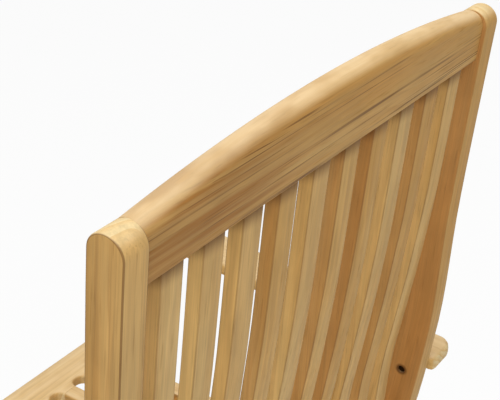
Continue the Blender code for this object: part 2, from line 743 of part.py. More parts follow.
def make_arm(side_name, side, parts, cutters, teak, brass):
    """One arm board with its cleat and the pin in it."""
    outline = [(x, -ahead) for ahead, x in arm_outline()]
    mesh = flat_outline_mesh(side_name + "_arm", outline, ARM_THICK)
    mesh.transform(Matrix.Rotation(-ARM_RISE, 4, "X"))
    mesh.transform(Matrix.Translation((0.0, ARM_PIVOT.x, ARM_PIVOT.y)))
    if side < 0:
        mesh.transform(Matrix.Diagonal((-1.0, 1.0, 1.0, 1.0)))
        mesh.flip_normals()
    arm = add_mesh(side_name + "_arm", mesh, parts, teak)
    add_bevel(arm, ARM_EDGE, 3)
    blind_end = ARM_INNER + PIN_BITE + PIVOT_PLAY
    x_low, x_high = sorted((side * (ARM_INNER - CUT_OVER), side * blind_end))
    cut_bore(arm, side_name + "_arm_bore", ARM_PIVOT, x_low, x_high, cutters)

    reach = (POST_HIGH - ARM_PIVOT).dot(arm_point(1.0, 0.0) - ARM_PIVOT)
    pin_level = (POST_HIGH - ARM_PIVOT).dot(arm_point(0.0, 1.0) - ARM_PIVOT)
    top = -ARM_THICK / 2 - GAP
    low = pin_level - CLEAT_DROP
    outline = [
        arm_point(reach - CLEAT_LENGTH / 2, top),
        arm_point(reach - CLEAT_LENGTH / 4, low),
        arm_point(reach + CLEAT_LENGTH / 4, low),
        arm_point(reach + CLEAT_LENGTH / 2, top),
    ]
    x_low, x_high = sorted((side * CLEAT_INNER, side * CLEAT_OUTER))
    cleat = side_panel(side_name + "_arm_cleat", outline, x_low, x_high, parts, teak, WOOD_EDGE)
    cut_bore(cleat, side_name + "_cleat_bore", POST_HIGH, x_low - CUT_OVER, x_high + CUT_OVER, cutters)
    post_end = POST_INNER + GAP
    pin = add_pin(
        side_name + "_post_head_pin", side * CLEAT_OUTER, side * post_end, POST_HIGH, parts, brass
    )
    return [arm, cleat, pin]


def make_post(side_name, side, parts, cutters, teak):
    """Short post between an arm's cleat and the seat's front rail."""
    x_low, x_high = sorted((side * POST_INNER, side * POST_OUTER))
    outline = capsule(POST_LOW, POST_HIGH, POST_WIDTH / 2, END_STEPS)
    post = side_panel(side_name + "_arm_post", outline, x_low, x_high, parts, teak, WOOD_EDGE)
    for name, centre in (("low", POST_LOW), ("high", POST_HIGH)):
        bore = side_name + "_post_" + name + "_bore"
        cut_bore(post, bore, centre, x_low - CUT_OVER, x_high + CUT_OVER, cutters)
    return post


def hang(name, centre, pieces, parts, carrier=None):
    """Parents pieces, where they stand, to an empty on their hinge line."""
    axis = bpy.data.objects.new(name, None)
    axis.location = (0.0, centre.x, centre.y)
    parts.objects.link(axis)
    if carrier:
        axis.parent = carrier
        axis.matrix_parent_inverse = Matrix.Translation(-carrier.location)
    for piece in pieces:
        piece.parent = axis
        piece.matrix_parent_inverse = Matrix.Translation(-axis.location)
    return axis


def main():
    for item in list(bpy.data.objects):
        bpy.data.objects.remove(item)
    parts = new_collection("folding_armchair")
    cutters = new_collection("cutters")
    teak = new_material("teak", TEAK, 0.55, 0.0)
    teak_dark = new_material("teak_dark", TEAK_DARK, 0.55, 0.0)
    brass = new_material("brass", BRASS, 0.35, 1.0)
    make_stiles(parts, cutters, teak)
    make_stile_pins(parts, brass)
    make_back(parts, teak)
    make_front_stretcher(parts, teak_dark)
    seat_axis = hang("seat_axis", SEAT_PIVOT, make_seat(parts, cutters, teak, brass), parts)
    hang("rear_leg_axis", LEG_PIVOT, make_rear_legs(parts, cutters, teak_dark), parts, seat_axis)
    for name, side in SIDES:
        arm_pieces = make_arm(name, side, parts, cutters, teak, brass)
        arm_axis = hang(name + "_arm_axis", ARM_PIVOT, arm_pieces, parts)
        post = make_post(name, side, parts, cutters, teak)
        hang(name + "_post_axis", POST_HIGH, [post], parts, arm_axis)


main()
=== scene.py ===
"""Folding teak armchair, dressed over its solids.

The stiles, the back, the seat's top, the arms, the rear legs and the posts are modelled afresh
as rounded boards. The rails under the seat, the stretchers, the cleats and the pins keep their
solids. All of them get a grained teak or a brushed brass finish.

The chair faces -Y, and +X is the sitter's left. Metres, +Z up, floor at Z = 0.
"""

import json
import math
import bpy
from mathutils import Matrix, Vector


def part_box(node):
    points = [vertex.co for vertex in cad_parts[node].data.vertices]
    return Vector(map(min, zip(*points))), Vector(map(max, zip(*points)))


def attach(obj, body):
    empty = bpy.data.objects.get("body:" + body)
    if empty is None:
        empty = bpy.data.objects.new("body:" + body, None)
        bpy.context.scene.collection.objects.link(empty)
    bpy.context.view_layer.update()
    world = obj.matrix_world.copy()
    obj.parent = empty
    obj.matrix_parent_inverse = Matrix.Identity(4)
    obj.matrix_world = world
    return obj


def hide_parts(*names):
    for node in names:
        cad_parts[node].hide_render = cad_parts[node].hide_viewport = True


bl_info = {
    "name": "Folding teak armchair",
    "version": (1, 0, 0),
    "blender": (4, 5, 0),
    "location": "View3D > Sidebar > Armchair",
    "description": "Models the boards of a folding armchair over its solids and finishes them in teak",
    "category": "Object",
}

import bmesh
import bpy
from mathutils import Matrix, Vector

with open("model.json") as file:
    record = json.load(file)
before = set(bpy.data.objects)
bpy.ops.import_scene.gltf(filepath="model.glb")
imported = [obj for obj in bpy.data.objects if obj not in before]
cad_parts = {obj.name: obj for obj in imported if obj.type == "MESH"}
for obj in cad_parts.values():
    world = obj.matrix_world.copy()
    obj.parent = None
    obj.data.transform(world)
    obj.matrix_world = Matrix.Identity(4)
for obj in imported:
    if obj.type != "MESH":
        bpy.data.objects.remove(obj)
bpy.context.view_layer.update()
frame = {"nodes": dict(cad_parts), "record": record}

SIDES = (("left", 1), ("right", -1))

# Stile: height, rear edge behind the top rail's foot or, where negative, ahead of it, and depth
STILE_KNOTS = (
    (0.000, -0.3760, 0.034),
    (0.200, -0.2140, 0.040),
    (0.400, -0.1000, 0.046),
    (0.560, -0.0505, 0.031),
    (0.700, -0.0255, 0.0275),
    (0.845, 0.0037, 0.0275),
    (0.900, 0.0154, 0.0275),
)
# Height of a stile's top above the top rail's foot, along the back
STILE_CREST = 0.042
# Length of stiles and legs below the floor, which is cut off
FOOT_SPARE = 0.060

# Back, as (y, z) of the top rail's lower rear edge and the lean of the back there
RAIL_FOOT = Vector((0.2480, 0.845))
RECLINE = math.radians(12.0)
BACK_UP = Vector((math.sin(RECLINE), math.cos(RECLINE)))
RAIL_THICK = 0.0235
RAIL_END_HEIGHT = 0.0410
RAIL_RISE = 0.0165
SLAT_THICK = 0.0118
# Slat: height, and depth of its rear face in front of the stile's rear edge
SLAT_KNOTS = (
    (0.463, 0.0170),
    (0.510, 0.0212),
    (0.557, 0.0221),
    (0.606, 0.0184),
    (0.648, 0.0135),
    (0.686, 0.0098),
    (0.735, 0.0072),
    (0.845, 0.0064),
)
LOWER_RAIL_RECESS = 0.0045
LOWER_RAIL_THICK = 0.0245
LOWER_RAIL_MIDDLE = 0.445
LOWER_RAIL_HEIGHT = 0.036

# Pivots, as (y, z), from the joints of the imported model
PIVOTS = {joint["name"]: Vector(joint["pos_m"][1:]) for joint in frame["record"]["behaviour"]["joints"]}
SEAT_PIVOT = PIVOTS["seat_fold"]
LEG_PIVOT = PIVOTS["rear_legs_swing"]
ARM_PIVOT = PIVOTS["left_arm_lift"]
POST_HIGH = PIVOTS["left_post_swing"]
POST_LOW = POST_HIGH + SEAT_PIVOT - ARM_PIVOT
CROSSING_Z = 0.262
FOLD_ANGLE = math.radians(97.0)
BORE_RADIUS = 0.0038
BORE_SPARE = 0.010

# Seat, measured ahead of the seat pivot and above the line of its pivots
SEAT_TILT = math.radians(3.5)
SEAT_AHEAD = Vector((-math.cos(SEAT_TILT), math.sin(SEAT_TILT)))
SEAT_UP = Vector((math.sin(SEAT_TILT), math.cos(SEAT_TILT)))
SEAT_TOP = 0.012
SEAT_DIP = 0.007
SEAT_START = -0.012
SEAT_SLAT_THICK = 0.011
FRONT_RAIL_START = 0.333
FRONT_RAIL_WIDTH = 0.041
FRONT_RAIL_DEPTH = 0.026
FRONT_RAIL_CROWN = 0.003
FRONT_RAIL_NOSE = 0.018
HOLLOW_REACH = 0.019
SLOT_SETBACK = 0.007
# Share of the way to the nose at which the front rail's crown has its first step
CROWN_START = 0.15

# Arms, legs and posts
ARM_RISE = math.radians(7.0)
ARM_THICK = 0.018
ARM_TAIL = 0.0242
ARM_LENGTH = 0.418
ARM_INNER_BOW = 0.031
ARM_REAR_WIDTH = 0.043
ARM_FRONT_WIDTH = 0.056
ARM_CORNER = 0.014
ARM_NOSE = 0.024
ARM_BITE = 0.0163
LEG_DEPTH = 0.034
LEG_TOP = 0.020
POST_WIDTH = 0.030

# Clearance of joints, and the distance under which points count as one
JOINT_GAP = 0.0003
MERGE = 0.00002
# Share of half a board's width that rounds its end, so that the two arcs don't meet
FULL_ROUND = 0.996

# Steps along each curve and round each edge
STILE_STEPS = 40
SLAT_STEPS = 24
SEAT_STEPS = 14
ARM_STEPS = 14
ARCH_CUTS = 35
CREST_SEGMENTS = 12
ROUND_SEGMENTS = 8
EDGE_SEGMENTS = 3
BORE_SIDES = 32
SMOOTH_ANGLE = math.radians(38.0)
SHARP_ANGLE = math.radians(50.0)
SOLVE_ROUNDS = 8

# Turns of the grain for upright boards and for rails, and the heart that the growth rings run round
UPRIGHT = (0.0, 0.0, 0.0)
ACROSS = (0.0, -math.pi / 2, 0.0)
HEART = (0.26, -0.09, 0.0)
# How far apart two boards of a row may lie in the figure
BOARD_SHIFT = (3.0, 3.0, 3.0)
# How brown each back slat is, from the sitter's left
SLAT_TONES = (0.0, 0.0, 0.05, 0.25, 0.06, 0.31, 0.36, 0.13, 0.32, 0.14)
# Where along X the top rail pales, and how brown it is on either side of that
RAIL_FADE = (0.0, 0.15)
RAIL_TONES = (0.50, 1.0)
# How dark the lines along the arrises are: partly worn edges, partly painted shade on their rounding
ARRIS_WEAR_AND_SHADE = 0.38
STILE_ARRIS_WEAR_AND_SHADE = {"left": 0.65, "right": 0.12}
# How dark the painted shadow under the top rail is, and how far down it reaches
RAIL_SHADOW = 0.75
RAIL_SHADOW_REACH = 0.016
# How dark the disc round an arm pin is, how far out it is full, and where it ends
PIN_DISC_DARKNESS = 0.85
PIN_DISC_REACH = (0.0042, 0.0075)
# Brightness of the dull patches on the brass
DULL = 0.62

# Stage, with the share of the floor that is plain white to the camera
WHITE = (1.0, 1.0, 1.0, 1.0)
FLOOR_SIZE = 60.0
FLOOR_WHITE = 0.93
KEY_SIZE = 2.8
KEY_PLACE = (0.6, 0.1, 4.5)
KEY_TARGET = (0.0, 0.0, 0.6)
FILL_SIZE = 1.4
FILL_PLACE = (1.4, 1.7, 2.1)
FILL_TARGET = (0.0, 0.1, 0.7)
CAMERA_PLACE = (0.62379, 0.63449, 1.14517)
CAMERA_TURN = (1.144589, 0.081687, 2.180264)
CAMERA_LENS = 81.656
CAMERA_SENSOR = 36.0
CAMERA_NEAR = 0.01


def linear(red, green, blue):
    """Colour for a shader from 0 to 255 screen values."""
    return tuple((value / 255.0) ** 2.2 for value in (red, green, blue))


def length(name, description, default):
    return bpy.props.FloatProperty(
        name=name, description=description, default=default, min=0.0, precision=4, unit="LENGTH"
    )


def colour(name, description, default):
    return bpy.props.FloatVectorProperty(
        name=name, description=description, default=default, size=3, min=0.0, max=1.0, subtype="COLOR"
    )


def share(name, description, default):
    return bpy.props.FloatProperty(
        name=name, description=description, default=default, min=0.0, max=1.0, subtype="FACTOR"
    )


def power(name, description, default):
    return bpy.props.FloatProperty(
        name=name, description=description, default=default, min=0.0, unit="POWER"
    )


class ChairSizes(bpy.types.PropertyGroup):
    """Roundings that the boards get over the solids"""

    stile_edge: length("Stile edge", "Radius along the edges of the stiles", 0.0014)
    slat_edge: length("Back slat edge", "Radius along the edges of the back slats", 0.0012)
    rail_round: length("Top rail round", "Radius over both top edges of the top rail", 0.0112)
    rail_edge: length("Back rail edge", "Radius along the lower rail and under the top rail", 0.0014)
    seat_round: length("Seat slat round", "Radius over the top edges of the seat slats and slots", 0.0034)
    seat_edge: length("Seat edge", "Radius under the seat slats and along the front rail", 0.0012)
    arm_edge: length("Arm edge", "Radius along the edges of the arms", 0.0062)
    leg_edge: length("Leg edge", "Radius along the edges of the rear legs and posts", 0.0022)


class ChairFinish(bpy.types.PropertyGroup):
    """Colours and figure of the teak and the brass"""

    # On the sides of pale boards, pale teak is painted light that lifts their shade
    pale: colour("Pale teak", "Light bands, and the sides of pale boards", linear(228, 190, 122))
    # Bleached teak pales the tops: partly sun bleaching, partly painted light from above
    bleached_and_lit: colour("Bleached teak", "Tops that the sun has bleached", linear(232, 205, 160))
    gold: colour("Golden teak", "Main colour of the teak", linear(206, 158, 86))
    # Amber warms the faces toward ±X on brown boards
    amber: colour("Amber teak", "Sides that are sawn across the rings", linear(178, 120, 64))
    brown: colour("Brown teak", "Growth rings and brown boards", linear(158, 110, 56))
    # Dark teak also paints the shadow under the top rail, and shade on the rounding of the arrises
    dark: colour("Dark teak", "Streaks, pores, stains, dirt and worn arrises", linear(96, 60, 30))
    # Grey of the faces toward the rear on pale boards
    rear_grey: colour("Weathered teak", "Rear faces that have greyed", linear(200, 172, 126))
    cut: colour("End grain", "Sawn and sanded ends of the boards", linear(226, 200, 148))
    brass: colour("Brass", "Pins, washers and spacers", linear(196, 160, 96))
    # Dark brass of the arm pins: partly patina, partly painted shade of their sunk ends
    patina_and_shade: colour("Patina", "Darkened brass of the arm pins", linear(70, 58, 46))
    ring_spacing: length("Ring spacing", "Distance between two growth rings", 0.0075)
    streaks: share("Streaks", "How much of the top rail is streaked dark", 0.75)
    left_stile: share("Left stile", "How brown the left stile is", 0.17)
    right_stile: share("Right stile", "How brown the right stile is", 0.41)


class ChairStage(bpy.types.PropertyGroup):
    """Floor and lights"""

    floor: colour("Floor", "Colour of the floor", (0.86, 0.86, 0.85))
    key: power("Key light", "Soft light over the chair", 118.0)
    fill: power("Fill light", "Soft light from the side of the viewer", 23.0)
    sky: share("Sky", "Strength of the light from all round", 0.30)


def spline(knots, column, at):
    """Smooth value of a knot column at a height, straight beyond the end knots."""
    heights = [knot[0] for knot in knots]
    values = [knot[column] for knot in knots]
    last = len(knots) - 1

    def slope(index):
        low = max(index - 1, 0)
        high = min(index + 1, last)
        return (values[high] - values[low]) / (heights[high] - heights[low])

    if at <= heights[0]:
        return values[0] + slope(0) * (at - heights[0])
    if at >= heights[last]:
        return values[last] + slope(last) * (at - heights[last])
    left = max(index for index in range(last) if heights[index] <= at)
    span = heights[left + 1] - heights[left]
    way = (at - heights[left]) / span
    rise = values[left + 1] - values[left]
    start, end = slope(left) * span, slope(left + 1) * span
    curve = 3 * rise - 2 * start - end
    twist = start + end - 2 * rise
    return values[left] + way * (start + way * (curve + way * twist))


def stile_rear(height):
    """Point on the stile's rear edge, as (y, z)."""
    return Vector((RAIL_FOOT.x + spline(STILE_KNOTS, 1, height), height))


def stile_normal(height):
    """Unit normal of the rear edge, towards the rear."""
    step = 0.001
    along = stile_rear(height + step) - stile_rear(height - step)
    return Vector((along.y, -along.x)).normalized()


def stile_point(height, inward):
    """Point this far in front of the rear edge, square to it."""
    return stile_rear(height) - stile_normal(height) * inward


def stile_depth(height):
    return spline(STILE_KNOTS, 2, height)


def stile_centre(height):
    """Point on the stile's centre line at a true height."""
    at = height
    for _ in range(SOLVE_ROUNDS):
        at += height - stile_point(at, stile_depth(at) / 2).y
    return stile_point(at, stile_depth(at) / 2)


def slat_faces(height):
    """Points on a back slat's rear and front faces, as (y, z)."""
    recess = spline(SLAT_KNOTS, 1, height)
    return stile_point(height, recess), stile_point(height, recess + SLAT_THICK)


def slat_end(rail, upward, level, furthest):
    """Height on the rear edge where a slat's end comes to a level above a rail's point."""
    at = rail.y
    for _ in range(SOLVE_ROUNDS):
        at += level - furthest((corner - rail).dot(upward) for corner in slat_faces(at))
    return at


def seat_dip(ahead):
    """Depth of the seat's dish at a place ahead of the seat pivot."""
    return SEAT_DIP * math.sin(math.pi * (ahead - SEAT_START) / (FRONT_RAIL_START - SEAT_START))


def seat_point(ahead, above):
    """Point in the seat's own directions from the seat pivot, as (y, z)."""
    return SEAT_PIVOT + SEAT_AHEAD * ahead + SEAT_UP * above


def seat_place(point):
    """Distances of a point ahead of the seat pivot and above its line."""
    away = Vector((point.y, point.z)) - SEAT_PIVOT
    return away.dot(SEAT_AHEAD), away.dot(SEAT_UP)


def row_of(prefix):
    """Names of the solids of a row, and their boxes."""
    nodes = sorted(node for node in frame["nodes"] if node.startswith(prefix))
    return nodes, [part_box(node) for node in nodes]


def evenly(start, end, steps):
    return [start + (end - start) * index / steps for index in range(steps + 1)]


def begin(name, add, **place):
    """New piece from a primitive, alone in the selection."""
    bpy.ops.object.select_all(action="DESELECT")
    add(**place)
    piece = bpy.context.object
    piece.name = name
    piece.data.name = name
    return piece


def choose(piece):
    """Makes a piece the only one selected, and the active one."""
    bpy.ops.object.select_all(action="DESELECT")
    piece.select_set(True)
    bpy.context.view_layer.objects.active = piece


def settle(piece):
    """Moves a piece's place, turn and scale into its mesh."""
    choose(piece)
    bpy.ops.object.transform_apply(location=True, rotation=True, scale=True)


def pick(piece, kind, test):
    """In edit mode, selects the vertices or edges that pass a test. At least one has to."""
    bpy.ops.mesh.select_mode(type=kind)
    bpy.ops.mesh.select_all(action="DESELECT")
    mesh = bmesh.from_edit_mesh(piece.data)
    items = {"VERT": mesh.verts, "EDGE": mesh.edges}[kind]
    found = [item for item in items if test(item)]
    for item in found:
        item.select_set(True)
    mesh.select_flush_mode()
    bmesh.update_edit_mesh(piece.data)
    if not found:
        raise RuntimeError(piece.name + " has nothing to select")


def sweep(name, x_low, x_high, stations):
    """Board between two X planes, drawn out from its first end along pairs of (y, z) points."""
    middle = (x_low + x_high) / 2
    centres = [(one + two) / 2 for one, two in stations]
    depths = [(one - two).length for one, two in stations]
    turns = [math.atan2(one.y - two.y, one.x - two.x) for one, two in stations]
    piece = begin(
        name, bpy.ops.mesh.primitive_plane_add, size=1.0,
        location=(middle, centres[0].x, centres[0].y), rotation=(turns[0], 0.0, 0.0),
    )
    piece.scale = (x_high - x_low, depths[0], 1.0)
    settle(piece)
    bpy.ops.object.mode_set(mode="EDIT")
    bpy.ops.mesh.select_mode(type="FACE")
    bpy.ops.mesh.select_all(action="SELECT")
    for index in range(1, len(stations)):
        move = centres[index] - centres[index - 1]
        centre = (middle, centres[index].x, centres[index].y)
        ratio = depths[index] / depths[index - 1]
        bpy.ops.mesh.extrude_region_move(TRANSFORM_OT_translate={"value": (0.0, move.x, move.y)})
        bpy.ops.transform.rotate(
            value=turns[index - 1] - turns[index], orient_axis="X", center_override=centre
        )
        bpy.ops.transform.resize(value=(1.0, ratio, ratio), center_override=centre)
    bpy.ops.mesh.select_all(action="SELECT")
    bpy.ops.mesh.normals_make_consistent(inside=False)
    return piece


def round_over(piece, test, radius, segments):
    """In edit mode, rounds the edges that pass a test."""
    pick(piece, "EDGE", test)
    bpy.ops.mesh.bevel(offset=radius, segments=segments, affect="EDGES", clamp_overlap=False)
    bpy.ops.mesh.select_all(action="SELECT")
    bpy.ops.mesh.remove_doubles(threshold=MERGE)


def apply_modifier(piece, kind, **settings):
    """Adds a modifier with these settings and applies it."""
    modifier = piece.modifiers.new("shape", kind)
    for key, value in settings.items():
        setattr(modifier, key, value)
    choose(piece)
    bpy.ops.object.modifier_apply(modifier=modifier.name)


def ease_edges(piece, width, segments=EDGE_SEGMENTS):
    """Rounds every sharp edge of a piece."""
    apply_modifier(
        piece, "BEVEL", width=width, segments=segments, limit_method="ANGLE",
        angle_limit=SHARP_ANGLE, use_clamp_overlap=True,
    )


def take_out(piece, cutter):
    """Cuts the shape of a cutter out of a piece."""
    apply_modifier(piece, "BOOLEAN", operation="DIFFERENCE", solver="EXACT", object=cutter)
    bpy.data.objects.remove(cutter)


def cut_bore(piece, centre, x_low, x_high):
    """Round hole along X for a pin, between two X planes."""
    cutter = begin(
        "bore", bpy.ops.mesh.primitive_cylinder_add, vertices=BORE_SIDES, radius=BORE_RADIUS,
        depth=x_high - x_low, location=((x_low + x_high) / 2, centre.x, centre.y),
        rotation=(0.0, math.pi / 2, 0.0),
    )
    take_out(piece, cutter)


def copy_along(piece, name, distance):
    """Copy of a piece with its own mesh, this far along X."""
    choose(piece)
    bpy.ops.object.duplicate(linked=False)
    bpy.ops.transform.translate(value=(distance, 0.0, 0.0))
    copy = bpy.context.object
    copy.name = name
    copy.data.name = name
    settle(copy)
    return copy


def copy_row(first, nodes, boxes):
    """First piece of a row, and its copies at the places of the other solids."""
    copies = [
        copy_along(first, node + "_board", box[0].x - boxes[0][0].x)
        for node, box in list(zip(nodes, boxes))[1:]
    ]
    return [first] + copies


def cut_at_floor():
    """In edit mode, takes away what lies below the floor."""
    bpy.ops.mesh.select_all(action="SELECT")
    bpy.ops.mesh.bisect(plane_co=(0, 0, 0), plane_no=(0, 0, 1), use_fill=True, clear_inner=True)


def complete(piece, material, body, *nodes):
    """Smooths and finishes a piece, and puts it on its body in place of its solids."""
    choose(piece)
    bpy.ops.object.shade_smooth_by_angle(angle=SMOOTH_ANGLE)
    piece.data.materials.clear()
    piece.data.materials.append(material)
    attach(piece, body)
    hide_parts(*nodes)


def feed(tree, node, inputs):
    """Sets a node's inputs to values, or links them to sockets."""
    for key, value in inputs.items():
        if isinstance(value, bpy.types.NodeSocket):
            tree.links.new(value, node.inputs[key])
        else:
            node.inputs[key].default_value = value


def put(tree, kind, inputs=None, **settings):
    """Node with its settings and its inputs."""
    node = tree.nodes.new(kind)
    for key, value in settings.items():
        setattr(node, key, value)
    feed(tree, node, inputs or {})
    return node


def sums(tree, operation, one, two=0.0, clamp=False):
    """Socket with the result of a sum of numbers."""
    return put(tree, "ShaderNodeMath", {0: one, 1: two}, operation=operation, use_clamp=clamp).outputs[0]


def times(tree, one, two):
    """Socket with the product of two numbers."""
    return sums(tree, "MULTIPLY", one, two)


def vectors(tree, operation, one, two):
    """Socket with the result of a sum of vectors."""
    return put(tree, "ShaderNodeVectorMath", {0: one, 1: two}, operation=operation).outputs[0]


def blend(tree, factor, one, two):
    """Socket with a mix of two colours."""
    colours = [value if isinstance(value, bpy.types.NodeSocket) else (*value, 1.0) for value in (one, two)]
    node = put(tree, "ShaderNodeMix", {0: factor, 6: colours[0], 7: colours[1]}, data_type="RGBA")
    return node.outputs[2]


def between(tree, value, low, high, start=0.0, end=1.0):
    """Socket that goes smoothly from start to end as a value goes from low to high."""
    inputs = {"Value": value, "From Min": low, "From Max": high, "To Min": start, "To Max": end}
    return put(tree, "ShaderNodeMapRange", inputs, interpolation_type="SMOOTHSTEP").outputs["Result"]


def ridges(tree, height, strength, depth):
    """Socket with the normal of a surface that is raised by a height."""
    inputs = {"Height": height, "Strength": strength, "Distance": depth}
    return put(tree, "ShaderNodeBump", inputs).outputs["Normal"]


def begin_material(name):
    """New material, its node tree and its shader."""
    material = bpy.data.materials.new(name)
    material.use_nodes = True
    return material, material.node_tree, material.node_tree.nodes["Principled BSDF"]


def figure(tree, grain, across, along, detail):
    """Noise drawn out along the grain, with this many features to the metre across it and along it."""
    stretched = vectors(tree, "MULTIPLY", grain, (across, across, along))
    noise = put(tree, "ShaderNodeTexNoise", {"Vector": stretched, "Scale": 1.0, "Detail": detail})
    return noise.outputs["Fac"], noise.outputs["Color"]


def make_teak_group(finish):
    """Node group for teak with its grain along Z: colour, roughness and height of the surface."""
    group = bpy.data.node_groups.new("teak_figure", "ShaderNodeTree")
    for name in ("Grain", "Face", "Normal"):
        group.interface.new_socket(name, in_out="INPUT", socket_type="NodeSocketVector")
    for name in ("Tone", "Streaks", "Arris"):
        group.interface.new_socket(name, in_out="INPUT", socket_type="NodeSocketFloat")
    group.interface.new_socket("Color", in_out="OUTPUT", socket_type="NodeSocketColor")
    for name in ("Roughness", "Height"):
        group.interface.new_socket(name, in_out="OUTPUT", socket_type="NodeSocketFloat")
    source = group.nodes.new("NodeGroupInput")
    result = group.nodes.new("NodeGroupOutput")
    grain = source.outputs["Grain"]

    band, _ = figure(group, grain, 30.0, 3.0, 2.0)
    line, _ = figure(group, grain, 190.0, 6.0, 4.0)
    fibre, _ = figure(group, grain, 700.0, 18.0, 3.0)
    pore, _ = figure(group, grain, 700.0, 30.0, 2.0)
    streak, _ = figure(group, grain, 640.0, 4.5, 2.0)
    patch, _ = figure(group, grain, 22.0, 8.0, 2.0)
    cloud, _ = figure(group, grain, 60.0, 22.0, 2.0)
    _, sway = figure(group, grain, 16.0, 3.0, 3.0)

    # Growth rings round a heart that lies outside the board
    shifted = vectors(group, "MULTIPLY", sway, (0.035, 0.035, 0.0))
    swayed = vectors(group, "ADD", shifted, vectors(group, "MULTIPLY", grain, (1.0, 1.0, 0.0)))
    apart = put(group, "ShaderNodeVectorMath", {0: swayed, 1: HEART}, operation="DISTANCE")
    turns = sums(group, "DIVIDE", apart.outputs["Value"], finish.ring_spacing)
    ring = between(group, sums(group, "FRACT", turns), 0.20, 0.96)
    ring_depth = times(group, ring, between(group, patch, 0.32, 0.68, 0.08, 0.30))

    body = blend(group, between(group, band, 0.34, 0.66, 0.15, 0.80), finish.gold, finish.pale)
    ringed = blend(group, ring_depth, body, finish.brown)
    tone = source.outputs["Tone"]
    browned = times(group, tone, between(group, line, 0.32, 0.62, 0.50, 1.0))
    toned = blend(group, browned, ringed, finish.brown)

    # Faces toward ±X are paled on pale boards, as painted light that lifts the shade on them, and warmed
    # on brown ones; faces toward the rear are greyed on pale boards
    normal = put(group, "ShaderNodeSeparateXYZ", {0: source.outputs["Normal"]})
    side = between(group, sums(group, "ABSOLUTE", normal.outputs["X"]), 0.45, 0.95)
    painted_side_light = times(group, side, between(group, tone, 0.0, 0.12, 0.65, 0.0))
    side_light_painted = blend(group, painted_side_light, toned, finish.pale)
    warmth = times(group, side, between(group, tone, 0.0, 0.6, 0.02, 0.85))
    warmed = blend(group, warmth, side_light_painted, finish.amber)
    rear = between(group, normal.outputs["Y"], 0.60, 0.95)
    greyness = times(group, rear, between(group, tone, 0.0, 0.4, 0.35, 0.0))
    greyed = blend(group, greyness, warmed, finish.rear_grey)

    # Arrises along the sides are darkened: partly worn edges, partly painted shade on their rounding
    upward = normal.outputs["Z"]
    square = times(group, normal.outputs["X"], normal.outputs["X"])
    corner = times(group, square, sums(group, "SUBTRACT", 1.0, square))
    arris_wear_and_shade = times(group, source.outputs["Arris"], between(group, corner, 0.01, 0.16))
    wear_and_shade_darkened = blend(group, arris_wear_and_shade, greyed, finish.dark)

    dark = times(group, between(group, streak, 0.56, 0.65), between(group, patch, 0.30, 0.55))
    shown = times(group, source.outputs["Streaks"], between(group, upward, 0.05, 0.45, 1.0, 0.1))
    streaked = blend(group, times(group, dark, shown), wear_and_shade_darkened, finish.dark)
    pores = times(group, between(group, pore, 0.58, 0.74), 0.20)
    pored = blend(group, pores, streaked, finish.dark)

    # Ends of the fibres, where the face lies square to the grain
    facing = put(group, "ShaderNodeSeparateXYZ", {0: source.outputs["Face"]}).outputs["Z"]
    end = between(group, sums(group, "ABSOLUTE", facing), 0.50, 0.86)
    cut_rings = blend(group, times(group, ring, 0.50), finish.cut, finish.gold)
    wood = blend(group, end, pored, cut_rings)

    lines = between(group, line, 0.30, 0.70, 0.91, 1.05)
    fibres = between(group, fibre, 0.25, 0.75, 0.93, 1.06)
    clouds = between(group, cloud, 0.25, 0.75, 0.93, 1.06)
    value = times(group, times(group, lines, fibres), clouds)
    shade = put(group, "ShaderNodeHueSaturation", {"Value": value, "Color": wood}).outputs["Color"]

    # Tops are paled, apart from ends of the fibres: partly sun bleaching of the teak, partly painted light
    # from above
    lit = times(group, between(group, upward, 0.25, 0.90), between(group, end, 0.0, 1.0, 1.0, 0.3))
    faded = between(group, line, 0.25, 0.6, 0.7, 1.0)
    mottle = times(group, between(group, cloud, 0.30, 0.64, 0.44, 0.76), faded)
    top_bleached_and_lit = blend(group, times(group, lit, mottle), shade, finish.bleached_and_lit)
    group.links.new(top_bleached_and_lit, result.inputs["Color"])
    rough = sums(group, "ADD", between(group, fibre, 0.2, 0.8, 0.54, 0.66), pores)
    group.links.new(rough, result.inputs["Roughness"])
    height = sums(group, "SUBTRACT", times(group, fibre, 0.6), times(group, pores, 3.0))
    group.links.new(height, result.inputs["Height"])
    return group


def straighten(tree, parts):
    """Socket with a point's place after the curve of the back is taken out of it."""
    top = STILE_KNOTS[-1][0]
    low = min(knot[1] for knot in STILE_KNOTS)
    reach = max(knot[1] for knot in STILE_KNOTS) - low
    level = sums(tree, "DIVIDE", parts.outputs["Z"], top, clamp=True)
    curve = put(tree, "ShaderNodeFloatCurve", {"Value": level})
    line = curve.mapping.curves[0]
    while len(line.points) < len(STILE_KNOTS):
        line.points.new(0.5, 0.5)
    for spot, knot in zip(line.points, STILE_KNOTS):
        spot.location = (knot[0] / top, (knot[1] - low) / reach)
    curve.mapping.update()
    offset = times(tree, curve.outputs[0], reach)
    straight = sums(tree, "SUBTRACT", parts.outputs["Y"], offset)
    inputs = {"X": parts.outputs["X"], "Y": straight, "Z": parts.outputs["Z"]}
    return put(tree, "ShaderNodeCombineXYZ", inputs).outputs[0]


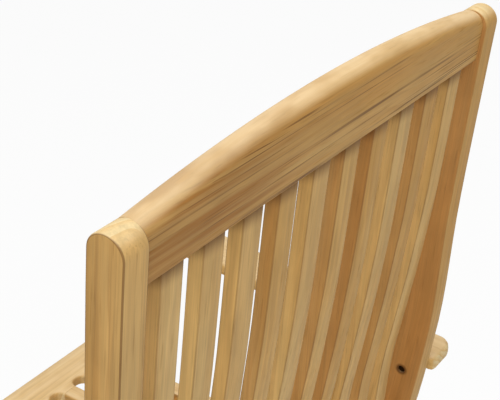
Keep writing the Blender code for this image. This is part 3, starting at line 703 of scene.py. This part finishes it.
def teak(name, turn, streaks, seed=0.0, warm=0.0, spread=0.0, arris=ARRIS_WEAR_AND_SHADE,
         bend=False, row=None, fade=None, shadow_height=None, pin_disc_centre=None):
    """Teak with its grain along Z after a turn.

    warm says how brown the wood is, and arris how dark its arrises are. bend follows the curve of the
    back. row is the pitch and count of boards that each have their own figure, with a spread
    of tones. fade gives two places along X and the tones there. The next argument is a height with
    painted shadow under it, and the last is the (y, z) of a pin with a darker disc round it.
    """
    finish = bpy.context.scene.chair_finish
    group = bpy.data.node_groups.get("teak_figure") or make_teak_group(finish)
    material, tree, shader = begin_material(name)
    place = put(tree, "ShaderNodeTexCoord")
    parts = put(tree, "ShaderNodeSeparateXYZ", {0: place.outputs["Object"]})
    point = straighten(tree, parts) if bend else place.outputs["Object"]
    settings = {"Vector": point, "Rotation": turn, "Location": (seed, seed, 0.0)}
    grain = put(tree, "ShaderNodeMapping", settings).outputs[0]
    face = put(tree, "ShaderNodeMapping", {"Vector": place.outputs["Normal"], "Rotation": turn},
               vector_type="VECTOR")
    tone = warm
    if fade:
        tone = between(tree, parts.outputs["X"], *fade)
    if row:
        pitch, count = row
        steps = sums(tree, "ADD", sums(tree, "DIVIDE", parts.outputs["X"], pitch), seed + count % 2 / 2)
        board = sums(tree, "FLOOR", steps)
        chance = put(tree, "ShaderNodeTexWhiteNoise", {"W": board}, noise_dimensions="1D")
        shift = vectors(tree, "MULTIPLY", chance.outputs["Color"], BOARD_SHIFT)
        grain = vectors(tree, "ADD", grain, shift)
        tone = between(tree, chance.outputs["Value"], 0.0, 1.0, warm, warm + spread)
    inputs = {"Grain": grain, "Face": face.outputs[0], "Normal": place.outputs["Normal"],
              "Tone": tone, "Streaks": streaks, "Arris": arris}
    wood = put(tree, "ShaderNodeGroup", inputs, node_tree=group)
    shade = wood.outputs["Color"]
    # Painted shadow on the slats, darkest right under the top rail
    if shadow_height:
        rail_shadow = between(tree, parts.outputs["Z"], shadow_height - RAIL_SHADOW_REACH, shadow_height, 0.0, RAIL_SHADOW)
        shade = blend(tree, rail_shadow, shade, finish.dark)
    # Darker disc on the wood round an arm pin
    if pin_disc_centre:
        flat = vectors(tree, "MULTIPLY", place.outputs["Object"], (0.0, 1.0, 1.0))
        away = put(tree, "ShaderNodeVectorMath", {0: flat, 1: (0.0, *pin_disc_centre)}, operation="DISTANCE")
        pin_disc = between(tree, away.outputs["Value"], *PIN_DISC_REACH, PIN_DISC_DARKNESS, 0.0)
        shade = blend(tree, pin_disc, shade, finish.dark)
    feed(tree, shader, {
        "Base Color": shade, "Roughness": wood.outputs["Roughness"], "Specular IOR Level": 0.2,
        "Normal": ridges(tree, wood.outputs["Height"], 0.30, 0.0004),
    })
    return material


def brushed(name, metal):
    """Satin metal with fine turning marks and a few dull patches."""
    material, tree, shader = begin_material(name)
    point = put(tree, "ShaderNodeTexCoord").outputs["Object"]
    patch = put(tree, "ShaderNodeTexNoise", {"Vector": point, "Scale": 260.0, "Detail": 3.0})
    lines = put(tree, "ShaderNodeTexNoise", {"Vector": point, "Scale": 2400.0, "Detail": 1.0})
    dull = between(tree, patch.outputs["Fac"], 0.42, 0.66)
    marks = between(tree, lines.outputs["Fac"], 0.2, 0.8, 0.24, 0.36)
    feed(tree, shader, {
        "Base Color": blend(tree, dull, metal, [value * DULL for value in metal]), "Metallic": 1.0,
        "Roughness": sums(tree, "ADD", marks, times(tree, dull, 0.18)),
        "Normal": ridges(tree, lines.outputs["Fac"], 0.15, 0.0002),
    })
    return material


class ChairOperator:
    """Shared by the operators of the chair"""

    bl_options = {"REGISTER", "UNDO"}


class ARMCHAIR_OT_stiles(ChairOperator, bpy.types.Operator):
    """Curved stiles with half-round tops that end as the front legs"""

    bl_idname = "armchair.stiles"
    bl_label = "Stiles"

    def execute(self, context):
        sizes = context.scene.chair_sizes
        shoulder = RAIL_FOOT.y
        for _ in range(SOLVE_ROUNDS):
            middle = stile_point(shoulder, stile_depth(shoulder) / 2) - RAIL_FOOT
            shoulder += STILE_CREST - stile_depth(shoulder) / 2 - middle.dot(BACK_UP)
        stations = [
            (stile_rear(height), stile_point(height, stile_depth(height)))
            for height in evenly(-FOOT_SPARE, shoulder, STILE_STEPS)
        ]
        rear, front = stations[-1]
        radius = (rear - front).length / 2
        behind = stile_normal(shoulder)
        crest = Vector((-behind.y, behind.x)) * radius
        stations.append((rear + crest, front + crest))
        level = (stations[-1][0].y + stations[-1][1].y) / 2 - radius / 2
        crossing = stile_centre(CROSSING_Z)
        for name, _ in SIDES:
            node = name + "_stile"
            tone = getattr(context.scene.chair_finish, node)
            finish = teak(
                "teak_" + node, UPRIGHT, streaks=0.12, warm=tone, arris=STILE_ARRIS_WEAR_AND_SHADE[name],
                bend=True, pin_disc_centre=ARM_PIVOT,
            )
            low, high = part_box(node)
            piece = sweep(node + "_board", low.x, high.x, stations)
            along = high.x - low.x

            def crest_edge(edge):
                one, two = edge.verts
                return min(one.co.z, two.co.z) > level and abs(one.co.x - two.co.x) > along / 2

            round_over(piece, crest_edge, radius * FULL_ROUND, CREST_SEGMENTS)
            cut_at_floor()
            bpy.ops.object.mode_set(mode="OBJECT")
            ease_edges(piece, sizes.stile_edge)
            for pivot in (SEAT_PIVOT, crossing, ARM_PIVOT):
                cut_bore(piece, pivot, low.x - BORE_SPARE, high.x + BORE_SPARE)
            complete(piece, finish, "frame", node)
        return {"FINISHED"}


class ARMCHAIR_OT_top_rail(ChairOperator, bpy.types.Operator):
    """Top rail with an arched, broadly rounded crest"""

    bl_idname = "armchair.top_rail"
    bl_label = "Top rail"

    def execute(self, context):
        sizes = context.scene.chair_sizes
        low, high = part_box("top_rail")
        half = (high.x - low.x) / 2
        middle = RAIL_END_HEIGHT / 2
        piece = begin("top_rail_board", bpy.ops.mesh.primitive_cube_add, size=1.0)
        piece.scale = (2 * half, RAIL_THICK, RAIL_END_HEIGHT)
        piece.location = (0.0, -RAIL_THICK / 2, middle)
        settle(piece)
        bpy.ops.object.mode_set(mode="EDIT")
        pick(piece, "EDGE", lambda edge: abs(edge.verts[0].co.x - edge.verts[1].co.x) > half)
        bpy.ops.mesh.subdivide(number_cuts=ARCH_CUTS)
        for x in evenly(-half, half, ARCH_CUTS + 1)[1:-1]:
            pick(piece, "VERT", lambda vert: abs(vert.co.x - x) < MERGE and vert.co.z > middle)
            bpy.ops.transform.translate(value=(0.0, 0.0, RAIL_RISE * (1 - (x / half) ** 2)))

        def lengthwise(edge, upper):
            one, two = edge.verts
            raised = min(one.co.z, two.co.z) > middle
            return raised == upper and abs(one.co.x - two.co.x) > MERGE

        round_over(piece, lambda edge: lengthwise(edge, True), sizes.rail_round, ROUND_SEGMENTS)
        round_over(piece, lambda edge: lengthwise(edge, False), sizes.rail_edge, EDGE_SEGMENTS)
        bpy.ops.object.mode_set(mode="OBJECT")
        piece.rotation_euler = (-RECLINE, 0.0, 0.0)
        piece.location = (0.0, RAIL_FOOT.x, RAIL_FOOT.y)
        settle(piece)
        streaks = context.scene.chair_finish.streaks
        finish = teak("teak_top_rail", ACROSS, streaks=streaks, seed=0.37, fade=RAIL_FADE + RAIL_TONES)
        complete(piece, finish, "frame", "top_rail")
        return {"FINISHED"}


class ARMCHAIR_OT_back_slats(ChairOperator, bpy.types.Operator):
    """Slats of the back, curved with the stiles, and the rail at their feet"""

    bl_idname = "armchair.back_slats"
    bl_label = "Back slats"

    def execute(self, context):
        sizes = context.scene.chair_sizes
        nodes, boxes = row_of("back_slat")
        behind = stile_normal(LOWER_RAIL_MIDDLE)
        upward = Vector((-behind.y, behind.x))
        centre = stile_point(LOWER_RAIL_MIDDLE, LOWER_RAIL_RECESS + LOWER_RAIL_THICK / 2)
        start = slat_end(centre, upward, LOWER_RAIL_HEIGHT / 2 + JOINT_GAP, min)
        end = slat_end(RAIL_FOOT, BACK_UP, -JOINT_GAP, max)
        stations = [slat_faces(height) for height in evenly(start, end, SLAT_STEPS)]
        low, high = boxes[0]
        first = sweep(nodes[0] + "_board", low.x, high.x, stations)
        bpy.ops.object.mode_set(mode="OBJECT")
        ease_edges(first, sizes.slat_edge)
        pieces = copy_row(first, nodes, boxes)
        self.lower_rail(sizes, centre, upward)
        for index, (piece, node) in enumerate(zip(pieces, nodes)):
            finish = teak(
                "teak_" + node, UPRIGHT, streaks=0.08, seed=2.0 + 0.7 * index, warm=SLAT_TONES[index],
                bend=True, shadow_height=RAIL_FOOT.y,
            )
            complete(piece, finish, "frame", node)
        return {"FINISHED"}

    def lower_rail(self, sizes, centre, upward):
        """Rail that carries the feet of the slats."""
        low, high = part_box("lower_back_rail")
        half = upward * LOWER_RAIL_HEIGHT / 2
        stations = bar_stations(centre - half, centre + half, LOWER_RAIL_THICK)
        piece = sweep("lower_back_rail_board", low.x, high.x, stations)
        bpy.ops.object.mode_set(mode="OBJECT")
        ease_edges(piece, sizes.rail_edge)
        finish = teak("teak_lower_rail", ACROSS, streaks=0.2, seed=9.3, warm=0.2)
        complete(piece, finish, "frame", "lower_back_rail")


class ARMCHAIR_OT_seat_slats(ChairOperator, bpy.types.Operator):
    """Dished slats of the seat with rounded tops"""

    bl_idname = "armchair.seat_slats"
    bl_label = "Seat slats"

    def execute(self, context):
        sizes = context.scene.chair_sizes
        nodes, boxes = row_of("seat_slat")
        low, high = boxes[0]
        slot = boxes[0][0].x - boxes[1][1].x
        stop = FRONT_RAIL_START - SLOT_SETBACK - slot / 2 - JOINT_GAP
        stations = []
        for ahead in evenly(SEAT_START, stop, SEAT_STEPS):
            level = SEAT_TOP - seat_dip(ahead)
            stations.append((seat_point(ahead, level), seat_point(ahead, level - SEAT_SLAT_THICK)))
        first = sweep(nodes[0] + "_board", low.x, high.x, stations)

        def lengthwise(edge, upper):
            one, two = (vert.co for vert in edge.verts)
            ahead, above = seat_place((one + two) / 2)
            raised = above > SEAT_TOP - seat_dip(ahead) - SEAT_SLAT_THICK / 2
            return raised == upper and abs(one.y - two.y) > SEAT_SLAT_THICK

        round_over(first, lambda edge: lengthwise(edge, True), sizes.seat_round, EDGE_SEGMENTS + 1)
        round_over(first, lambda edge: lengthwise(edge, False), sizes.seat_edge, EDGE_SEGMENTS)
        bpy.ops.object.mode_set(mode="OBJECT")
        pieces = copy_row(first, nodes, boxes)
        row = (boxes[0][0].x - boxes[1][0].x, len(nodes))
        turn = (math.pi / 2 + SEAT_TILT, 0.0, 0.0)
        finish = teak("teak_seat_slats", turn, streaks=0.10, row=row, seed=5.0, spread=0.15, arris=0.0)
        for piece, node in zip(pieces, nodes):
            complete(piece, finish, "seat", node)
        return {"FINISHED"}


class ARMCHAIR_OT_front_rail(ChairOperator, bpy.types.Operator):
    """Front rail of the seat, with a round nose and rounded ends to the slots"""

    bl_idname = "armchair.front_rail"
    bl_label = "Seat front rail"

    def execute(self, context):
        sizes = context.scene.chair_sizes
        low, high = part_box("seat_front_rail")
        _, slats = row_of("seat_slat")
        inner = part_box("left_seat_rail")[0].x
        reach = inner + JOINT_GAP
        edges = sorted([value for box in slats for value in (box[0].x, box[1].x)] + [-reach, reach])
        slots = list(zip(edges[0::2], edges[1::2]))
        stub = SLOT_SETBACK + (slots[1][1] - slots[1][0]) / 2
        start = FRONT_RAIL_START - stub
        crest = SEAT_TOP + FRONT_RAIL_CROWN
        under = crest - FRONT_RAIL_DEPTH
        nose = FRONT_RAIL_START + FRONT_RAIL_WIDTH - FRONT_RAIL_NOSE
        profile = [(start, SEAT_TOP - seat_dip(start))]
        for way in evenly(CROWN_START, 1.0, ROUND_SEGMENTS):
            profile.append((FRONT_RAIL_START + (nose - FRONT_RAIL_START) * way,
                            SEAT_TOP + FRONT_RAIL_CROWN * way * way * (3 - 2 * way)))
        for angle in evenly(0.0, math.pi / 2, ROUND_SEGMENTS)[1:]:
            profile.append((nose + FRONT_RAIL_NOSE * math.sin(angle),
                            crest - FRONT_RAIL_NOSE * (1 - math.cos(angle))))
        stations = [(seat_point(ahead, above), seat_point(ahead, under)) for ahead, above in profile]
        piece = sweep("seat_front_rail_board", low.x, high.x, stations)
        bpy.ops.object.mode_set(mode="OBJECT")
        self.notch_ends(piece, inner, high.x, start)
        self.hollow(piece, reach, start)
        ease_edges(piece, sizes.seat_edge)
        (rear, rear_level), (fore, fore_level) = profile[:2]
        slope = math.atan2(fore_level - rear_level, fore - rear)
        for slot_low, slot_high in slots:
            radius = (slot_high - slot_low) / 2
            ahead = FRONT_RAIL_START - SLOT_SETBACK - radius
            self.cut_slot(
                piece, radius, stub, sizes.seat_round, slope, (slot_low + slot_high) / 2,
                seat_point(ahead, rear_level + (ahead - rear) * math.tan(slope)),
            )
        for side in (1, -1):
            x_low, x_high = sorted((side * (high.x - ARM_BITE), side * (high.x + BORE_SPARE)))
            cut_bore(piece, POST_LOW, x_low, x_high)
        finish = teak("teak_front_rail", ACROSS, streaks=0.0, seed=1.3, arris=0.0)
        complete(piece, finish, "seat", "seat_front_rail")
        return {"FINISHED"}

    def notch_ends(self, piece, inner, outer, start):
        """Takes the rail back to its straight rear face beside the slats."""
        back = start - BORE_SPARE
        wide = outer + BORE_SPARE - inner
        centre = seat_point((back + FRONT_RAIL_START) / 2, 0.0)
        for side in (1, -1):
            cutter = begin("notch", bpy.ops.mesh.primitive_cube_add, size=1.0)
            cutter.scale = (wide, FRONT_RAIL_START - back, 2 * LEG_DEPTH)
            cutter.rotation_euler = (-SEAT_TILT, 0.0, 0.0)
            cutter.location = (side * (inner + wide / 2), centre.x, centre.y)
            settle(cutter)
            take_out(piece, cutter)

    def hollow(self, piece, reach, start):
        """Thins the rail behind its nose to the thickness of the slats, between the side rails."""
        ends = (start - BORE_SPARE, FRONT_RAIL_START + HOLLOW_REACH)
        top = SEAT_TOP - seat_dip(start) - SEAT_SLAT_THICK
        stations = [(seat_point(ahead, top), seat_point(ahead, top - LEG_DEPTH)) for ahead in ends]
        cutter = sweep("hollow", -reach, reach, stations)
        bpy.ops.object.mode_set(mode="OBJECT")
        take_out(piece, cutter)

    def cut_slot(self, piece, radius, stub, rim, slope, x, centre):
        """Cuts the round front end of a slot with a bit that rounds over its rim."""
        levels = [(-LEG_DEPTH, radius), (-rim, radius)]
        for angle in evenly(0.0, math.pi / 2, EDGE_SEGMENTS + 1)[1:]:
            levels.append((MERGE - rim * (1 - math.sin(angle)), radius + rim * (1 - math.cos(angle))))
        levels.append((LEG_DEPTH, radius + rim))
        cutter = begin(
            "slot", bpy.ops.mesh.primitive_circle_add, vertices=BORE_SIDES, radius=radius,
            fill_type="NGON", location=(0.0, 0.0, levels[0][0]),
        )
        settle(cutter)
        bpy.ops.object.mode_set(mode="EDIT")
        bpy.ops.mesh.select_mode(type="FACE")
        bpy.ops.mesh.select_all(action="SELECT")
        for (low, inner), (high, outer) in zip(levels, levels[1:]):
            bpy.ops.mesh.extrude_region_move(TRANSFORM_OT_translate={"value": (0.0, 0.0, high - low)})
            ratio = outer / inner
            bpy.ops.transform.resize(value=(ratio, ratio, 1.0), center_override=(0.0, 0.0, high))
        bpy.ops.mesh.select_all(action="SELECT")
        bpy.ops.mesh.normals_make_consistent(inside=False)
        pick(cutter, "VERT", lambda vert: vert.co.y > MERGE)
        bpy.ops.transform.translate(value=(0.0, stub + BORE_SPARE, 0.0))
        bpy.ops.object.mode_set(mode="OBJECT")
        cutter.rotation_euler = (-SEAT_TILT - slope, 0.0, 0.0)
        cutter.location = (x, centre.x, centre.y)
        settle(cutter)
        take_out(piece, cutter)


class ARMCHAIR_OT_arms(ChairOperator, bpy.types.Operator):
    """Arms that bow outwards to a rounded front"""

    bl_idname = "armchair.arms"
    bl_label = "Arms"

    def execute(self, context):
        sizes = context.scene.chair_sizes
        inner = min(abs(corner.x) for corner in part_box("left_arm"))
        finish = teak("teak_arm", (math.pi / 2 + ARM_RISE, 0.0, 0.0), streaks=0.10, seed=3.1, arris=0.0)
        stations = []
        for way in evenly(0.0, 1.0, ARM_STEPS):
            near = inner + ARM_INNER_BOW * way * way * (3 - 2 * way)
            wide = ARM_REAR_WIDTH + (ARM_FRONT_WIDTH - ARM_REAR_WIDTH) * way
            ahead = -ARM_TAIL + (ARM_LENGTH + ARM_TAIL) * way
            stations.append((Vector((-ahead, near + wide)), Vector((-ahead, near))))
        middle = inner + ARM_REAR_WIDTH / 2

        def at_nose(edge):
            one, two = (vert.co for vert in edge.verts)
            return max(one.y, two.y) < -ARM_LENGTH + MERGE and abs(one.x - two.x) > MERGE

        def at_outer_tail(edge):
            one, two = (vert.co for vert in edge.verts)
            at_tail = min(one.y, two.y) > ARM_TAIL - MERGE and abs(one.x - two.x) > MERGE
            return at_tail and min(one.z, two.z) > middle

        for name, side in SIDES:
            node = name + "_arm"
            piece = sweep(node + "_board", -ARM_THICK / 2, ARM_THICK / 2, stations)
            round_over(piece, at_nose, ARM_NOSE, ROUND_SEGMENTS)
            round_over(piece, at_outer_tail, ARM_CORNER, ROUND_SEGMENTS)
            bpy.ops.object.mode_set(mode="OBJECT")
            ease_edges(piece, sizes.arm_edge, EDGE_SEGMENTS + 1)
            turn = Matrix.Rotation(-ARM_RISE, 4, "X") @ Matrix.Rotation(side * math.pi / 2, 4, "Y")
            piece.matrix_world = Matrix.Translation((0.0, ARM_PIVOT.x, ARM_PIVOT.y)) @ turn
            settle(piece)
            x_low, x_high = sorted((side * (inner - BORE_SPARE), side * (inner + ARM_BITE)))
            cut_bore(piece, ARM_PIVOT, x_low, x_high)
            complete(piece, finish, name + "_arm_body", node)
        return {"FINISHED"}


def leg_line():
    """Direction of the rear legs from their pivot to the crossing pin."""
    return (stile_centre(CROSSING_Z) - LEG_PIVOT).normalized()


def bar_stations(start, end, width):
    """Ends of a straight bar, as pairs of points across its width."""
    along = (end - start).normalized()
    across = Vector((-along.y, along.x)) * width / 2
    return [(start + across, start - across), (end + across, end - across)]


def round_bar_end(piece, tip, width, along):
    """Rounds a bar off to a half circle at a tip."""
    def at_tip(edge):
        one, two = edge.verts
        away = [abs((Vector((vert.co.y, vert.co.z)) - tip).dot(along)) for vert in (one, two)]
        return max(away) < MERGE and abs(one.co.x - two.co.x) > MERGE

    round_over(piece, at_tip, width / 2 * FULL_ROUND, CREST_SEGMENTS)


class ARMCHAIR_OT_rear_legs(ChairOperator, bpy.types.Operator):
    """Rear legs with round heads and the slots that run on the crossing pins"""

    bl_idname = "armchair.rear_legs"
    bl_label = "Rear legs"

    def execute(self, context):
        sizes = context.scene.chair_sizes
        line = leg_line()
        foot = LEG_PIVOT - line * (LEG_PIVOT.y + FOOT_SPARE) / line.y
        head = LEG_PIVOT - line * LEG_TOP
        to_crossing = stile_centre(CROSSING_Z) - SEAT_PIVOT
        to_leg = LEG_PIVOT - SEAT_PIVOT
        opening = to_crossing.angle(to_leg)
        near = 2 * to_leg.length * math.sin(opening / 2)
        far = 2 * to_leg.length * math.sin((opening + FOLD_ANGLE) / 2)
        tips = (LEG_PIVOT + line * (near - BORE_RADIUS), LEG_PIVOT + line * (far + BORE_RADIUS))
        slot = bar_stations(*tips, 2 * BORE_RADIUS)
        lean = math.atan2(-line.x, -line.y)
        finish = teak("teak_rear_leg", (lean, 0.0, 0.0), streaks=0.18, warm=0.25, seed=4.2)
        for name, _ in SIDES:
            node = name + "_rear_leg"
            low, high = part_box(node)
            piece = sweep(node + "_board", low.x, high.x, bar_stations(foot, head, LEG_DEPTH))
            round_bar_end(piece, head, LEG_DEPTH, line)
            cut_at_floor()
            bpy.ops.object.mode_set(mode="OBJECT")
            ease_edges(piece, sizes.leg_edge)
            cut_bore(piece, LEG_PIVOT, low.x - BORE_SPARE, high.x + BORE_SPARE)
            cutter = sweep("slot", low.x - BORE_SPARE, high.x + BORE_SPARE, slot)
            for tip in tips:
                round_bar_end(cutter, tip, 2 * BORE_RADIUS, line)
            bpy.ops.object.mode_set(mode="OBJECT")
            take_out(piece, cutter)
            complete(piece, finish, "rear_legs", node)
        return {"FINISHED"}


class ARMCHAIR_OT_posts(ChairOperator, bpy.types.Operator):
    """Short posts with round ends between the arms and the seat"""

    bl_idname = "armchair.posts"
    bl_label = "Arm posts"

    def execute(self, context):
        sizes = context.scene.chair_sizes
        along = (POST_HIGH - POST_LOW).normalized()
        ends = (POST_LOW - along * POST_WIDTH / 2, POST_HIGH + along * POST_WIDTH / 2)
        lean = math.atan2(along.x, along.y)
        finish = teak("teak_post", (lean, 0.0, 0.0), streaks=0.15, warm=0.1, seed=6.4)
        for name, _ in SIDES:
            node = name + "_arm_post"
            low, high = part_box(node)
            piece = sweep(node + "_board", low.x, high.x, bar_stations(*ends, POST_WIDTH))
            for tip in ends:
                round_bar_end(piece, tip, POST_WIDTH, along)
            bpy.ops.object.mode_set(mode="OBJECT")
            ease_edges(piece, sizes.leg_edge)
            for pivot in (POST_LOW, POST_HIGH):
                cut_bore(piece, pivot, low.x - BORE_SPARE, high.x + BORE_SPARE)
            complete(piece, finish, name + "_post_body", node)
        return {"FINISHED"}


class ARMCHAIR_OT_solids(ChairOperator, bpy.types.Operator):
    """Finish of the boards and pins that keep their solids"""

    bl_idname = "armchair.solids"
    bl_label = "Rails, cleats and pins"

    def execute(self, context):
        rails = teak("teak_rail", ACROSS, streaks=0.2, warm=0.2, seed=7.7)
        turn = (math.pi / 2 + SEAT_TILT, 0.0, 0.0)
        sides = teak("teak_seat_rail", turn, streaks=0.15, warm=0.1, seed=8.8)
        finishes = context.scene.chair_finish
        brass = brushed("brushed_brass", finishes.brass)
        # The arm pins are darker brass: partly patina, partly painted shade of their sunk ends
        dark_brass = brushed("dark_brass", finishes.patina_and_shade)
        for name, node in frame["nodes"].items():
            if node.hide_render:
                continue
            if name.endswith("arm_pin"):
                finish = dark_brass
            elif name.endswith(("pin", "washer", "spacer")):
                finish = brass
            elif name.endswith(("seat_rail", "cleat")):
                finish = sides
            else:
                finish = rails
            for slot in node.material_slots:
                slot.material = finish
        return {"FINISHED"}


class ARMCHAIR_OT_stage(ChairOperator, bpy.types.Operator):
    """Pale floor, soft lights and the camera"""

    bl_idname = "armchair.stage"
    bl_label = "Stage"

    def execute(self, context):
        stage = context.scene.chair_stage
        context.scene.view_settings.view_transform = "Standard"
        floor = begin("floor", bpy.ops.mesh.primitive_plane_add, size=FLOOR_SIZE)
        floor.data.materials.append(self.floor_material(stage))
        self.light("key_light", stage.key, KEY_SIZE, KEY_PLACE, KEY_TARGET)
        self.light("fill_light", stage.fill, FILL_SIZE, FILL_PLACE, FILL_TARGET)
        self.world(context.scene, stage.sky)
        bpy.ops.object.camera_add(location=CAMERA_PLACE, rotation=CAMERA_TURN)
        camera = context.object
        camera.name = "camera"
        camera.data.sensor_width = CAMERA_SENSOR
        camera.data.lens = CAMERA_LENS
        camera.data.clip_start = CAMERA_NEAR
        context.scene.camera = camera
        return {"FINISHED"}

    def light(self, name, watts, size, place, target):
        bpy.ops.object.light_add(type="AREA", location=place)
        lamp = bpy.context.object
        lamp.name = name
        lamp.data.energy = watts
        lamp.data.size = size
        lamp.rotation_euler = (Vector(target) - Vector(place)).to_track_quat("-Z", "Y").to_euler()

    def seen(self, tree):
        """Socket that is 1 for what the camera, a mirror or glass sees."""
        path = put(tree, "ShaderNodeLightPath")
        mirrored = sums(tree, "MAXIMUM", path.outputs["Is Camera Ray"], path.outputs["Is Glossy Ray"])
        return sums(tree, "MAXIMUM", mirrored, path.outputs["Is Transmission Ray"])

    def floor_material(self, stage):
        material, tree, shader = begin_material("pale_floor")
        feed(tree, shader, {"Base Color": (*stage.floor, 1.0), "Roughness": 0.9})
        white = put(tree, "ShaderNodeEmission", {"Strength": 1.0})
        seen = times(tree, self.seen(tree), FLOOR_WHITE)
        mixed = put(tree, "ShaderNodeMixShader", {0: seen, 1: shader.outputs[0], 2: white.outputs[0]})
        tree.links.new(mixed.outputs[0], tree.nodes["Material Output"].inputs["Surface"])
        return material

    def world(self, scene, strength):
        sky = bpy.data.worlds.new("soft_sky")
        sky.use_nodes = True
        tree = sky.node_tree
        light = tree.nodes["Background"]
        feed(tree, light, {"Strength": strength, "Color": WHITE})
        white = put(tree, "ShaderNodeBackground", {"Color": WHITE, "Strength": 1.0})
        shown = {0: self.seen(tree), 1: light.outputs[0], 2: white.outputs[0]}
        mixed = put(tree, "ShaderNodeMixShader", shown)
        tree.links.new(mixed.outputs[0], tree.nodes["World Output"].inputs["Surface"])
        scene.world = sky


STEPS = (
    "stage", "stiles", "top_rail", "back_slats", "seat_slats", "front_rail", "arms", "rear_legs", "posts",
    "solids",
)


class ARMCHAIR_PT_panel(bpy.types.Panel):
    """Buttons for each group of pieces"""

    bl_idname = "ARMCHAIR_PT_panel"
    bl_label = "Folding armchair"
    bl_space_type = "VIEW_3D"
    bl_region_type = "UI"
    bl_category = "Armchair"

    def draw(self, context):
        for step in STEPS:
            self.layout.operator("armchair." + step)


CLASSES = (
    ChairSizes, ChairFinish, ChairStage, ARMCHAIR_OT_stage, ARMCHAIR_OT_stiles, ARMCHAIR_OT_top_rail,
    ARMCHAIR_OT_back_slats, ARMCHAIR_OT_seat_slats, ARMCHAIR_OT_front_rail, ARMCHAIR_OT_arms,
    ARMCHAIR_OT_rear_legs, ARMCHAIR_OT_posts, ARMCHAIR_OT_solids, ARMCHAIR_PT_panel,
)


def register():
    for item in CLASSES:
        bpy.utils.register_class(item)
    bpy.types.Scene.chair_sizes = bpy.props.PointerProperty(type=ChairSizes)
    bpy.types.Scene.chair_finish = bpy.props.PointerProperty(type=ChairFinish)
    bpy.types.Scene.chair_stage = bpy.props.PointerProperty(type=ChairStage)


def unregister():
    del bpy.types.Scene.chair_stage
    del bpy.types.Scene.chair_finish
    del bpy.types.Scene.chair_sizes
    for item in reversed(CLASSES):
        bpy.utils.unregister_class(item)


def main():
    register()
    for step in STEPS:
        getattr(bpy.ops.armchair, step)()


if __name__ == "__main__":
    main()
